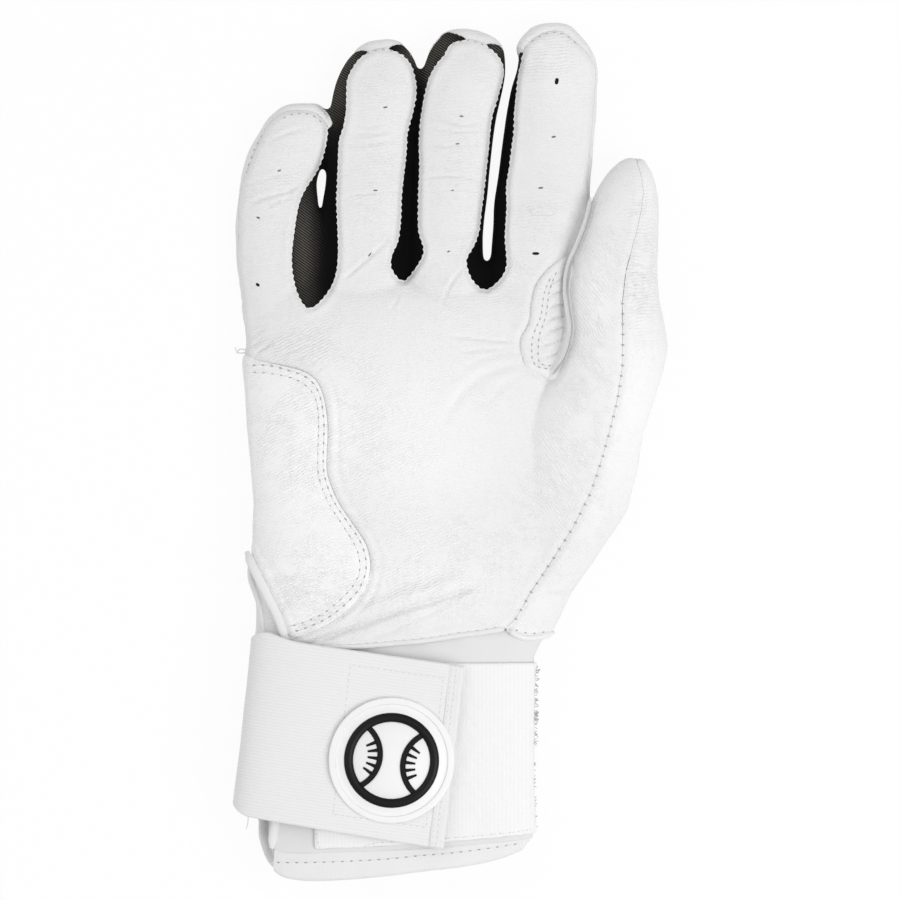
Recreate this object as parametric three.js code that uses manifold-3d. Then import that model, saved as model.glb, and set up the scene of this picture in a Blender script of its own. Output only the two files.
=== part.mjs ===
// A right-hand long-cuff batting glove, lying on its back with the palm up. Millimetres.
// +X points to the thumb, +Y to the fingertips and +Z out of the palm. The origin is the middle of the
// footprint, on the surface that the glove lies on.
import * as THREE from "three";
import { mergeVertices } from "three/addons/utils/BufferGeometryUtils.js";
import Module from "manifold-3d";

const wasm = await Module();
wasm.setup();

// Sheet goods and sewing
const leather = 1.0; // sheepskin of the palm, back and thumb
const patchLeather = 0.9; // overlay patches
const stretchFabric = 0.7; // knitted finger sidewalls, knuckle panel and gusset
const stretchInset = 0.2; // the knit lies this much lower than the leather
const neoprene = 1.5; // cuff wall
const elastic = 1.8; // wrist strap
const hookTape = 1.2;
const loopTape = 1.2;
const hemProud = 0.4; // folded tape stands this much proud of the cuff wall
const bindingProud = 0.5;
const seam = 0.3; // gap between two sewn pieces
const rubber = 1.2; // badge plate
const inlay = 0.7; // raised black figure of the badge

// Hand
const handWidth = 106.8;
const handLength = 108; // wrist seam to the lowest finger web
const handThick = 22;
const handAxisX = -10.5;
const wristY = -56.1;
const webRound = 7; // length over which the hand rounds off between the fingers
const restSink = 0.6; // how far the filled form is pressed flat on the surface
const seamShare = 0.5; // height of the sewn edge, as a share of the thickness
const skirt = 6; // leather below the wrist line before it is trimmed
const wristOverlap = 4; // how far the cuff runs up inside the leather

// Rows along the hand: share of the length, little-finger and thumb edges as shares of the width from
// the hand's axis, and thickness as a share of the full thickness
const handShares = [
  [0.0, -0.454, 0.403, 1.0],
  [0.05, -0.457, 0.416, 1.01],
  [0.13, -0.465, 0.455, 1.02],
  [0.26, -0.463, 0.53, 1.02],
  [0.38, -0.463, 0.58, 1.0],
  [0.51, -0.478, 0.58, 0.97],
  [0.66, -0.483, 0.53, 0.92],
  [0.81, -0.489, 0.49, 0.86],
  [0.92, -0.496, 0.46, 0.8],
  [1.0, -0.5, 0.42, 0.74],
];

// Fingers: straight line from root to tip, greatest width, thickness and length of the round end.
// Rows: share of the length, sway from that line and half width as shares of the width.
const fingers = {
  little: {
    rootX: -53.2,
    rootY: 29,
    tipX: -45.6,
    tipY: 105.5,
    width: 24.4,
    thick: 14,
    round: 11,
    rows: [
      [0.0, 0.08, 0.42],
      [0.14, 0.03, 0.5],
      [0.21, -0.02, 0.5],
      [0.37, -0.12, 0.49],
      [0.51, -0.16, 0.49],
      [0.69, -0.17, 0.48],
      [0.81, -0.12, 0.46],
      [1.0, 0.0, 0.44],
    ],
  },
  ring: {
    rootX: -27,
    rootY: 34,
    tipX: -20,
    tipY: 125.6,
    width: 27,
    thick: 15.4,
    round: 13.5,
    rows: [
      [0.0, 0.0, 0.6],
      [0.09, 0.0, 0.58],
      [0.16, -0.02, 0.52],
      [0.25, -0.05, 0.48],
      [0.35, -0.065, 0.475],
      [0.61, -0.07, 0.46],
      [0.77, -0.06, 0.475],
      [0.86, -0.04, 0.47],
      [1.0, 0.0, 0.46],
    ],
  },
  middle: {
    rootX: -2.2,
    rootY: 36,
    tipX: 4.9,
    tipY: 128.4,
    width: 25.6,
    thick: 15.8,
    round: 12,
    rows: [
      [0.0, 0.0, 0.6],
      [0.07, 0.0, 0.56],
      [0.15, -0.02, 0.49],
      [0.24, -0.045, 0.42],
      [0.43, -0.06, 0.445],
      [0.59, -0.06, 0.455],
      [0.69, -0.035, 0.46],
      [0.8, 0.005, 0.475],
      [0.9, 0.02, 0.49],
      [1.0, 0.0, 0.46],
    ],
  },
  index: {
    rootX: 24,
    rootY: 34,
    tipX: 32.2,
    tipY: 130.8,
    width: 28.6,
    thick: 15.6,
    round: 12.5,
    rows: [
      [0.0, -0.12, 0.46],
      [0.15, -0.1, 0.43],
      [0.25, -0.06, 0.41],
      [0.34, -0.01, 0.46],
      [0.42, 0.025, 0.485],
      [0.59, 0.035, 0.48],
      [0.78, 0.04, 0.47],
      [0.9, 0.03, 0.45],
      [1.0, 0.0, 0.44],
    ],
  },
};
const tipSquare = 0.8; // 1 rounds a fingertip like an ellipse, less is squarer
const tipWrap = 3.6; // back leather that comes round each fingertip
const wrapHalfShare = 0.4; // half width of that wrap, as a share of the finger's width

// Thumb. Rows: share of the length, centre and half width as shares of the length, and thickness and
// height of the middle as shares of the thickness
const thumbRootX = 34;
const thumbRootY = -24;
const thumbLength = 113.1;
const thumbThick = 19;
const thumbShares = [
  [0.0, 0.012, 0.108, 0.8, 0.56],
  [0.13, 0.073, 0.124, 0.95, 0.6],
  [0.29, 0.103, 0.133, 1.04, 0.64],
  [0.4, 0.132, 0.134, 1.06, 0.67],
  [0.5, 0.152, 0.133, 1.03, 0.68],
  [0.61, 0.139, 0.123, 1.0, 0.68],
  [0.7, 0.136, 0.115, 0.96, 0.68],
  [0.78, 0.155, 0.104, 0.9, 0.67],
  [0.86, 0.169, 0.09, 0.82, 0.66],
  [0.91, 0.179, 0.078, 0.72, 0.66],
  [0.95, 0.186, 0.06, 0.58, 0.66],
  [0.985, 0.191, 0.036, 0.36, 0.66],
];

// Openings of the leather over the knitted sidewalls. Each starts at the bottom of its web; the
// outline is in shares of its width and length, up the edge nearer the little finger and down the other.
const sidewalls = {
  little_ring: {
    x: -42.9,
    y: 43,
    width: 12.8,
    length: 79.3,
    shares: [
      [0, 0],
      [-0.3, 0.07],
      [-0.36, 0.18],
      [-0.3, 0.3],
      [-0.06, 0.43],
      [0.15, 0.53],
      [0.26, 0.66],
      [0.26, 0.78],
      [0.5, 0.9],
      [0.95, 1.04],
      [1.24, 0.99],
      [0.9, 0.89],
      [0.81, 0.77],
      [0.66, 0.62],
      [0.6, 0.42],
      [0.65, 0.22],
      [0.52, 0.08],
    ],
  },
  ring_middle: {
    x: -14.2,
    y: 52.2,
    width: 9.2,
    length: 75.6,
    shares: [
      [0, 0],
      [-0.37, 0.06],
      [-0.1, 0.16],
      [-0.04, 0.32],
      [0.08, 0.55],
      [0.28, 0.71],
      [0.2, 0.8],
      [-0.1, 0.9],
      [-0.35, 0.96],
      [0.0, 1.02],
      [0.9, 0.97],
      [1.45, 1.06],
      [1.95, 1.01],
      [1.3, 0.91],
      [0.84, 0.78],
      [0.7, 0.62],
      [0.5, 0.47],
      [0.45, 0.25],
      [0.6, 0.1],
    ],
  },
  middle_index: {
    x: 11.1,
    y: 49.1,
    width: 10.7,
    length: 72.9,
    shares: [
      [0, 0],
      [-0.5, 0.08],
      [-0.4, 0.16],
      [-0.17, 0.28],
      [-0.14, 0.5],
      [0.08, 0.7],
      [0.3, 0.83],
      [0.3, 0.93],
      [0.1, 1.02],
      [0.6, 1.08],
      [0.98, 1.0],
      [0.94, 0.88],
      [0.76, 0.72],
      [0.62, 0.55],
      [0.52, 0.4],
      [0.46, 0.24],
      [0.49, 0.1],
      [0.3, 0.02],
    ],
  },
};

// Seam between the palm leather and the thumb's side panel, in shares of the thumb's length from its
// root, tip first
const sideSeamShares = [
  [0.2, 1.1],
  [0.216, 0.98],
  [0.225, 0.92],
  [0.214, 0.86],
  [0.193, 0.77],
  [0.17, 0.67],
  [0.163, 0.56],
  [0.161, 0.43],
  [0.136, 0.31],
  [0.108, 0.22],
  [0.07, 0.1],
  [0.027, 0.0],
  [-0.05, -0.1],
  [-0.13, -0.21],
  [-0.165, -0.32],
];
const backSeamInset = 9; // on the back that seam runs this much nearer the edge

// Heel patch, in shares of its width and length from its lowest corner at the little-finger edge
const heelX = -61.5;
const heelY = -56;
const heelWidth = 36.6;
const heelLength = 82;
const heelShares = [
  [0.0, 1.0],
  [0.32, 0.98],
  [0.51, 0.935],
  [0.61, 0.87],
  [0.65, 0.78],
  [0.63, 0.59],
  [0.86, 0.41],
  [0.98, 0.31],
  [1.0, 0.22],
  [0.93, 0.12],
  [0.74, 0.04],
  [0.38, 0.0],
  [0.26, 0.12],
  [0.12, 0.26],
  [0.0, 0.36],
];

// Patch in the fork between thumb and index finger, in shares of its width and length from the lowest
// point nearer the palm
const forkX = 22;
const forkY = 21.4;
const forkWidth = 14;
const forkLength = 35.6;
const forkShares = [
  [0.78, 0.98],
  [0.55, 0.9],
  [0.24, 0.7],
  [0.05, 0.45],
  [0.02, 0.22],
  [0.35, 0.04],
  [0.72, 0.04],
  [0.8, 0.25],
  [0.8, 0.7],
];

// Stretch panel across the knuckles on the back of the hand
const knuckleX = -12;
const knuckleY = 34;
const knuckleWidth = 74;
const knuckleLength = 16;

// Cuff. Rows: share of the length down from the wrist, little-finger and thumb edges as shares of the
// width from its axis
const cuffAxisX = -16.1;
const cuffWidth = 85.2;
const cuffThick = 16.8;
const cuffLength = 74.7;
const cuffLift = 2.2; // the strap's sewn part lies underneath
const cuffShares = [
  [0.04, -0.475, 0.52],
  [0.13, -0.475, 0.5],
  [0.4, -0.48, 0.497],
  [0.72, -0.496, 0.5],
  [1.0, -0.5, 0.5],
];
const hemWidth = 8.4;
const hemLowCorner = 11;
const hemHighCorner = 6;
const hemRise = 7.6; // the lower edge climbs this much towards the thumb side
const hemTopRise = 4.4; // the hem's upper edge climbs less
const gussetTop = 22; // how far the gusset runs up from the wrist
const gussetReach = 24; // its underlap from the little-finger edge

// Wrist trim line of the leather, in shares of the cuff's width and of the skirt
const trimShares = [
  [-0.7, -0.1],
  [-0.5, -0.1],
  [-0.27, -0.66],
  [0.0, -0.46],
  [0.28, 0.0],
  [0.42, 0.3],
  [0.5, -0.1],
  [0.63, 0.2],
  [0.7, 0.9],
];

// Wrist opening: its palm-side edge, in shares of the opening's length down from its top and of its
// depth in from the cuff's edge
const slitTopY = -31.3;
const slitDepth = 11;
const slitLength = 101;
const slitShares = [
  [-0.04, -0.4],
  [0.0, 0.06],
  [0.06, 0.24],
  [0.14, 0.5],
  [0.23, 0.9],
  [0.3, 1.02],
  [0.45, 0.92],
  [0.62, 0.68],
  [0.8, 0.42],
  [1.0, 0.36],
];
const bindingWidth = 2.4;

// Strap. Its own frame is centred on the cuff and turned by strapTilt; u runs to the thumb side.
const strapTilt = -8; // degrees
const strapY = -90.6;
const strapFoldU = -47.3; // outer face of the fold
const strapEndU = 17.5;
const strapClear = 3.5; // free height over the cuff for both tapes
const foldHalfWidth = 26.2;
const endHalfWidth = 28;
const foldCorner = 4;
const anchorEndU = 32; // the strap is sewn to the back up to here
const endTapeWidth = 4.4;
const endTapeProud = 0.3;
const hookWidth = 30;
const hookMargin = 3.5;
const knuckleClear = 0.2;
const loopLeftX = -40.6;
const loopRightX = 26.9;
const loopTopY = -63.4;

// Badge
const badgeU = -1.2;
const badgeV = -3.4;
const badgeRadius = 19;
const badgeTurn = -8; // degrees
const badgeRim = 1.5;
const badgeRimHeight = 0.6;
const ringRadius = 14.4;
const ringWidth = 2.8;
const seamArcRadius = 11.5;
const seamArcOffset = 14.2;
const seamArcWidth = 1.7;
const seamArcHalfTurn = 0.62; // radians
const stitchLength = 2.2;
const stitchWidth = 1.0;
const stitchesPerSeam = 5;

// How solids are cut
const cutRun = 60; // overrun of every cut
const weld = 1e-4;
const squareness = 2.6; // 2 is an ellipse, more is squarer
const strapSquareness = 4;
const handSides = 26;
const digitSides = 14;
const capSteps = 4;
const ringSteps = 5;
const curveSteps = 32;

// Tables and curves
function track(rows) {
  const columns = rows[0].length - 1;
  const places = rows.map((row) => row[0]);
  const values = rows.flatMap((row) => row.slice(1));
  const curve = new THREE.CubicInterpolant(places, values, columns, new Array(columns));
  return (place) => Array.from(curve.evaluate(THREE.MathUtils.clamp(place, places[0], places.at(-1))));
}

function smoothOutline(points) {
  const corners = points.map(([x, y]) => new THREE.Vector3(x, y, 0));
  const curve = new THREE.CatmullRomCurve3(corners, true, "centripetal");
  return curve.getPoints(curveSteps).slice(1).map((point) => [point.x, point.y]);
}

function area(points) {
  return THREE.ShapeUtils.area(points.map(([x, y]) => new THREE.Vector2(x, y)));
}

// Moves an outline outwards by a distance, or inwards by a negative one
function grown(points, distance) {
  const side = Math.sign(area(points));
  return points.map(([x, y], index) => {
    const before = points.at(index - 1);
    const after = points[(index + 1) % points.length];
    const along = new THREE.Vector2(after[0] - before[0], after[1] - before[1]).normalize();
    return [x + side * distance * along.y, y - side * distance * along.x];
  });
}

// Superellipse round (x, z) in the plane of one y, pressed flat where it would pass below its floor
function ring({ x, y, z, halfWidth, halfThick, floor, sides }) {
  const points = [];
  for (let step = 0; step < sides; step += 1) {
    const turn = (step / sides) * 2 * Math.PI;
    const across = Math.sign(Math.cos(turn)) * Math.abs(Math.cos(turn)) ** (2 / squareness);
    const up = Math.sign(Math.sin(turn)) * Math.abs(Math.sin(turn)) ** (2 / squareness);
    points.push([x + across * halfWidth, y, Math.max(z + up * halfThick, floor)]);
  }
  return points;
}

// Solids
function manifoldOf(corners, faces) {
  const mesh = new wasm.Mesh({
    numProp: 3,
    vertProperties: Float32Array.from(corners.flat()),
    triVerts: Uint32Array.from(faces.flat()),
  });
  mesh.merge();
  return new wasm.Manifold(mesh);
}

function middleOf(points) {
  const sum = new THREE.Vector3();
  for (const point of points) sum.add(new THREE.Vector3(...point));
  return sum.divideScalar(points.length).toArray();
}

// Rings from low y to high y, closed by a fan at each end
function loft(rings, tip) {
  const sides = rings[0].length;
  const corners = [...rings.flat(), middleOf(rings[0]), tip ?? middleOf(rings.at(-1))];
  const faces = [];
  for (let row = 0; row + 1 < rings.length; row += 1) {
    for (let side = 0; side < sides; side += 1) {
      const here = row * sides + side;
      const next = row * sides + ((side + 1) % sides);
      faces.push([here, here + sides, next], [next, here + sides, next + sides]);
    }
  }
  const last = (rings.length - 1) * sides;
  for (let side = 0; side < sides; side += 1) {
    const next = (side + 1) % sides;
    faces.push([corners.length - 2, side, next]);
    faces.push([corners.length - 1, last + next, last + side]);
  }
  return manifoldOf(corners, faces);
}

function fromGeometry(geometry) {
  geometry.deleteAttribute("normal");
  geometry.deleteAttribute("uv");
  const merged = mergeVertices(geometry, weld);
  return new wasm.Manifold(new wasm.Mesh({
    numProp: 3,
    vertProperties: Float32Array.from(merged.attributes.position.array),
    triVerts: Uint32Array.from(merged.index.array),
  }));
}

// Upright prism on an outline in the plane of the hand
function prism(points, low = -cutRun, high = cutRun) {
  const shape = new THREE.Shape(points.map(([x, y]) => new THREE.Vector2(x, y)));
  const geometry = new THREE.ExtrudeGeometry(shape, { depth: high - low, bevelEnabled: false });
  return fromGeometry(geometry.translate(0, 0, low));
}

function joined(solids) {
  return solids.reduce((sum, solid) => sum.add(solid));
}

function box(lowX, highX, lowY, highY) {
  return prism([[lowX, lowY], [highX, lowY], [highX, highY], [lowX, highY]]);
}

// Form of the hand, larger or smaller than the glove's outer face by an offset
const handRow = track(handShares);
const handMiddle = (share) => handRow(share)[2] * (handThick / 2) - restSink;

function handRing(y, offset, narrow = 0, thin = 1) {
  const [low, high, thick] = handRow((y - wristY) / handLength);
  return ring({
    x: handAxisX + ((low + high) / 2) * handWidth,
    y,
    z: handMiddle((y - wristY) / handLength),
    halfWidth: ((high - low) / 2) * handWidth + offset - narrow,
    halfThick: (thick * (handThick / 2) + offset) * thin,
    floor: -offset,
    sides: handSides,
  });
}

function handSolid(offset) {
  const rings = handShares.map(([share]) => handRing(wristY + share * handLength, offset));
  const low = offset < 0 ? skirt + wristOverlap : skirt;
  rings.unshift(handRing(wristY, offset).map(([x, y, z]) => [x, y - low, z]));
  const end = wristY + handLength;
  for (let step = 1; step < capSteps; step += 1) {
    const turn = (step / capSteps) * (Math.PI / 2);
    const y = end + (webRound + offset) * Math.sin(turn);
    rings.push(handRing(end, offset, webRound * (1 - Math.cos(turn)), Math.cos(turn)).map(
      ([x, , z]) => [x, y, z],
    ));
  }
  return loft(rings);
}

// Place and half width of a finger at a share of its length
function fingerAt(finger, share) {
  const [sway, half] = finger.row(share);
  return {
    x: THREE.MathUtils.lerp(finger.rootX, finger.tipX, share) + sway * finger.width,
    half: half * finger.width,
  };
}

function fingerSolid(finger, offset) {
  const length = finger.tipY - finger.rootY;
  const z = finger.thick / 2 - restSink;
  const rings = [];
  const straight = 1 - finger.round / length;
  const section = (share, y, scale) => {
    const { x, half } = fingerAt(finger, share);
    const size = { halfWidth: (half + offset) * scale, halfThick: (finger.thick / 2 + offset) * scale };
    rings.push(ring({ x, y, z, ...size, floor: -offset, sides: digitSides }));
  };
  for (let step = 0; step <= ringSteps; step += 1) {
    const share = (step / ringSteps) * straight;
    section(share, finger.rootY + share * length, 1);
  }
  const start = finger.rootY + straight * length;
  for (let step = 1; step < capSteps; step += 1) {
    const turn = (step / capSteps) * (Math.PI / 2);
    const y = start + (finger.round + offset) * Math.sin(turn);
    section(straight + (1 - straight) * Math.sin(turn), y, Math.cos(turn) ** tipSquare);
  }
  const tip = [finger.tipX + finger.row(1)[0] * finger.width, finger.tipY + offset, z];
  return loft(rings, tip);
}

function thumbSolid(offset) {
  const rings = thumbShares.map(([share, x, half, thick, lift]) => ring({
    x: thumbRootX + x * thumbLength,
    y: thumbRootY + share * (thumbLength + offset),
    z: lift * thumbThick,
    halfWidth: Math.max(half * thumbLength + offset, weld),
    halfThick: Math.max(thick * (thumbThick / 2) + offset, weld),
    floor: -offset,
    sides: digitSides,
  }));
  const [, x, , , lift] = thumbShares.at(-1);
  const tip = [thumbRootX + x * thumbLength, thumbRootY + thumbLength + offset, lift * thumbThick];
  return loft(rings, tip);
}

function gloveSolid(offset) {
  const digits = Object.values(fingers).map((finger) => fingerSolid(finger, offset));
  return joined([handSolid(offset), ...digits, thumbSolid(offset)]);
}

// Everything below the sewn edge that runs round the hand at mid height
function lowerHalf(shift) {
  const rows = [-cutRun * 3, ...handShares.map(([share]) => wristY + share * handLength), cutRun * 3];
  const rings = rows.map((y) => {
    const share = THREE.MathUtils.clamp((y - wristY) / handLength, 0, 1);
    const top = 2 * seamShare * handMiddle(share) + shift;
    const far = cutRun * 2;
    return [[far, y, -cutRun], [far, y, top], [-far, y, top], [-far, y, -cutRun]];
  });
  return loft(rings);
}

// Form of the cuff, larger or smaller than its outer face by an offset. Its neck fits inside the
// leather of the wrist.
const cuffRow = track(cuffShares);

function cuffSolid(offset) {
  const inner = offset - leather - seam;
  const rings = [handRing(wristY + gussetTop, inner), handRing(wristY + gussetTop / 2, inner)];
  rings.push(handRing(wristY, inner).map(([x, y, z]) => [x, y, Math.max(z, cuffLift - offset)]));
  for (const share of [...cuffShares.map((row) => row[0]), 1 + hemWidth / cuffLength]) {
    const [low, high] = cuffRow(share);
    rings.push(ring({
      x: cuffAxisX + ((low + high) / 2) * cuffWidth,
      y: wristY - share * cuffLength,
      z: cuffLift + cuffThick / 2,
      halfWidth: ((high - low) / 2) * cuffWidth + offset,
      halfThick: cuffThick / 2 + offset,
      floor: cuffLift - offset,
      sides: handSides,
    }));
  }
  return loft(rings.reverse());
}

// Outline of the cuff down to its lower edge, or to a line above it
function cuffOutline(lift, rise) {
  const left = cuffAxisX - cuffWidth / 2 - hemProud;
  const right = cuffAxisX + cuffWidth / 2 + hemProud;
  const low = wristY - cuffLength + lift;
  const high = low + rise;
  const shape = new THREE.Shape();
  shape.moveTo(left, wristY + cutRun);
  shape.lineTo(left, low + hemLowCorner);
  shape.quadraticCurveTo(left, low, left + hemLowCorner, low);
  shape.lineTo(left + hemLowCorner * 2, low);
  shape.lineTo(right - hemHighCorner, high);
  shape.quadraticCurveTo(right, high, right, high + hemHighCorner);
  shape.lineTo(right, wristY + cutRun);
  return shape.getPoints(curveSteps / 4).map((point) => [point.x, point.y]);
}

// Outlines in the plane of the hand
const outlineOf = ({ x, y, width, length, shares }) => smoothOutline(
  shares.map(([across, along]) => [x + across * width, y + along * length]),
);
const sidewallOutlines = Object.fromEntries(
  Object.entries(sidewalls).map(([name, sidewall]) => [name, outlineOf(sidewall)]),
);
const heelOutline = outlineOf({
  x: heelX,
  y: heelY,
  width: heelWidth,
  length: heelLength,
  shares: heelShares,
});
const forkOutline = outlineOf({
  x: forkX,
  y: forkY,
  width: forkWidth,
  length: forkLength,
  shares: forkShares,
});

function sideOutline(shift) {
  const line = sideSeamShares.map(([across, along]) => [
    thumbRootX + across * thumbLength + shift,
    thumbRootY + along * thumbLength,
  ]);
  const far = thumbRootX + cutRun;
  return [[far, line[0][1]], ...line, [far, line.at(-1)[1]]];
}

function slitLine(shift) {
  return slitShares.map(([down, depth]) => [
    cuffAxisX - cuffWidth / 2 + depth * slitDepth + shift,
    slitTopY - down * slitLength,
  ]);
}

function slitOutline(shift) {
  const line = slitLine(shift);
  const far = cuffAxisX - cutRun * 2;
  return [[far, line[0][1]], ...line, [far, line.at(-1)[1] - cutRun]];
}

function trimOutline(shift) {
  const line = trimShares.map(([across, along]) => [
    cuffAxisX + across * cuffWidth,
    wristY + along * skirt + shift,
  ]);
  return [...line, [cuffAxisX + cutRun * 2, wristY - cutRun], [cuffAxisX - cutRun * 2, wristY - cutRun]];
}

function roundedBox(x, y, width, height, radius) {
  const shape = new THREE.Shape();
  shape.moveTo(x + width / 2, y - height / 2 + radius);
  shape.absarc(x + width / 2 - radius, y + height / 2 - radius, radius, 0, Math.PI / 2);
  shape.absarc(x - width / 2 + radius, y + height / 2 - radius, radius, Math.PI / 2, Math.PI);
  shape.absarc(x - width / 2 + radius, y - height / 2 + radius, radius, Math.PI, Math.PI * 1.5);
  shape.absarc(x + width / 2 - radius, y - height / 2 + radius, radius, Math.PI * 1.5, Math.PI * 2);
  return shape.getPoints(curveSteps / 8).slice(1).map((point) => [point.x, point.y]);
}

// Back leather that comes round the fingertips
function tipWraps(shift) {
  return joined(Object.values(fingers).map((finger) => {
    const half = wrapHalfShare * finger.width + shift;
    const low = finger.tipY - tipWrap - shift;
    const sag = finger.round - Math.sqrt(finger.round ** 2 - (half ** 2) / 2);
    return prism([
      [finger.tipX - half, low - sag],
      [finger.tipX - half / 2, low - sag / 4],
      [finger.tipX, low],
      [finger.tipX + half / 2, low - sag / 4],
      [finger.tipX + half, low - sag],
      [finger.tipX + half, finger.tipY + cutRun],
      [finger.tipX - half, finger.tipY + cutRun],
    ]);
  }));
}

// Pieces of the glove
const colours = {
  leather: 0xf2f2f2,
  knit: 0x1c1c1e,
  fabric: 0xe9e9ea,
  elastic: 0xececed,
  rubber: 0xf6f6f6,
  black: 0x101010,
};

function material(colour, roughness) {
  return new THREE.MeshStandardMaterial({ color: colour, roughness, metalness: 0 });
}

const materials = {
  leather: material(colours.leather, 0.55),
  knit: material(colours.knit, 0.85),
  fabric: material(colours.fabric, 0.8),
  elastic: material(colours.elastic, 0.85),
  rubber: material(colours.rubber, 0.4),
  black: material(colours.black, 0.4),
};

function meshOf(name, solid, finish) {
  const { numProp, vertProperties, triVerts } = solid.getMesh();
  if (numProp !== 3) throw new Error("positions only");
  const geometry = new THREE.BufferGeometry();
  geometry.setAttribute("position", new THREE.BufferAttribute(Float32Array.from(vertProperties), 3));
  geometry.setIndex(new THREE.BufferAttribute(Uint32Array.from(triVerts), 1));
  geometry.computeVertexNormals();
  const mesh = new THREE.Mesh(geometry, finish);
  mesh.name = name;
  return mesh;
}

for (const finger of Object.values(fingers)) finger.row = track(finger.rows);

// Leather shell, cut by the sidewalls, the side seam, the sewn edge, the trim line and the slit
const outerGlove = gloveSolid(0);
const skin = outerGlove.subtract(gloveSolid(-leather));
const lower = lowerHalf(-seam / 2);
const lowerGrown = lowerHalf(seam / 2);
const sideSeam = prism(sideOutline(0));
const sideSeamBack = prism(sideOutline(backSeamInset));
const side = sideSeam.subtract(lower).add(sideSeamBack.intersect(lowerGrown));
const sideGrown = prism(sideOutline(-seam)).subtract(lower).add(
  prism(sideOutline(backSeamInset - seam)).intersect(lowerGrown),
);
const walls = Object.fromEntries(
  Object.entries(sidewallOutlines).map(([name, points]) => [name, prism(points)]),
);
const wallsGrown = joined(Object.values(sidewallOutlines).map((points) => prism(grown(points, seam))));
const wraps = tipWraps(0);
const wrapsGrown = tipWraps(seam);
const trim = prism(trimOutline(0));
const slit = prism(slitOutline(0));
const binding = prism(slitOutline(bindingWidth)).subtract(slit).subtract(lower);
const bindingGrown = prism(slitOutline(bindingWidth + seam)).subtract(lower);
const knucklePoints = (grow) => grown(
  roundedBox(knuckleX, knuckleY, knuckleWidth, knuckleLength, knuckleLength / 3),
  grow,
);

const uncut = skin.subtract(wallsGrown).subtract(trim);
const panels = uncut.subtract(sideGrown);
const palmPanel = panels.subtract(lowerGrown).subtract(wrapsGrown).subtract(bindingGrown);
const backPanel = panels
  .intersect(lower.add(wraps.subtract(lower)))
  .subtract(prism(knucklePoints(seam)).intersect(lowerGrown));
const sidePanel = uncut.intersect(side);

const knitSkin = gloveSolid(-stretchInset).subtract(gloveSolid(-stretchInset - stretchFabric));
const knuckleKnit = knitSkin.intersect(prism(knucklePoints(0))).intersect(lower);

function overlay(outline, gap, thickness) {
  const grownSolid = gloveSolid(gap + thickness).subtract(gloveSolid(gap));
  return grownSolid.intersect(prism(outline)).subtract(lowerGrown);
}

const heelPatch = overlay(heelOutline, seam, patchLeather).subtract(trim).subtract(bindingGrown);
const forkPatch = overlay(forkOutline, seam, patchLeather);

// Cuff
const cuffEdge = prism(cuffOutline(0, hemRise));
const hem = cuffEdge.subtract(prism(cuffOutline(hemWidth, hemTopRise)));
const aboveHem = prism(cuffOutline(hemWidth + seam, hemTopRise));
const cuffWall = cuffSolid(0)
  .subtract(cuffSolid(-neoprene))
  .subtract(box(-cutRun * 2, cutRun * 2, wristY + wristOverlap, cutRun * 3))
  .intersect(aboveHem);
const cuffPalm = cuffWall.subtract(lowerGrown).subtract(bindingGrown);
const cuffBack = cuffWall.intersect(lower);
const hemTape = cuffSolid(hemProud)
  .subtract(cuffSolid(-neoprene))
  .intersect(hem)
  .subtract(prism(slitOutline(bindingWidth + seam)).subtract(lower));
const slitBinding = joined([
  gloveSolid(bindingProud).subtract(gloveSolid(-leather)).subtract(trim),
  cuffSolid(bindingProud).subtract(cuffSolid(-neoprene)).intersect(cuffEdge),
]).intersect(binding);
const gussetSkin = cuffSolid(-neoprene - seam).subtract(cuffSolid(-neoprene - seam - stretchFabric));
const gusset = gussetSkin
  .intersect(prism(cuffOutline(hemWidth / 2, hemRise)))
  .subtract(box(cuffAxisX - cuffWidth / 2 + gussetReach, cutRun * 2, -cutRun * 3, cutRun * 3));
const loopPanel = cuffSolid(seam + loopTape)
  .subtract(cuffSolid(seam))
  .intersect(box(loopLeftX, loopRightX, -cutRun * 3, loopTopY))
  .intersect(aboveHem)
  .subtract(lowerGrown);

// Strap section: a band round the cuff, flat underneath towards the thumb
const strapTop = cuffLift + cuffThick + strapClear;
const strapMiddleZ = (elastic + strapTop) / 2;

function strapZ(u, offset, up) {
  const half = -strapFoldU - elastic + offset;
  const rise = (strapTop - elastic) / 2 + offset;
  const share = Math.min(Math.abs(u) / half, 1);
  return strapMiddleZ + up * rise * (1 - share ** strapSquareness) ** (1 / strapSquareness);
}

// Points of the band's face from the fold to u, on the upper or lower side
function strapCurve(u, offset, up) {
  const fold = strapFoldU + elastic - offset;
  const points = [];
  const steps = curveSteps / 2;
  for (let step = 0; step <= steps; step += 1) {
    const turn = (step / steps) * (Math.PI / 2);
    const place = fold * (1 - Math.sin(turn) ** 2) + Math.min(u, 0) * Math.sin(turn) ** 2;
    points.push([place, strapZ(place, offset, up)]);
  }
  if (u > 0) points.push([u, up > 0 ? strapZ(u, offset, up) : strapZ(0, offset, up)]);
  return points;
}

// A band between two offsets from the strap's inner face, cut to its outline in plan
function strapBand(startU, endU, low, high, up, plan) {
  const outer = strapCurve(endU, high, up);
  const inner = strapCurve(endU, low, up);
  const points = [...outer, ...inner.reverse()].map(([u, z]) => new THREE.Vector2(u, z));
  const geometry = new THREE.ExtrudeGeometry(new THREE.Shape(points), {
    depth: cutRun * 2,
    bevelEnabled: false,
  });
  const band = fromGeometry(geometry.rotateX(Math.PI / 2).translate(0, cutRun, 0));
  const kept = prism(plan).subtract(box(-cutRun * 2, startU, -cutRun * 2, cutRun * 2));
  return band.intersect(kept);
}

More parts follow.
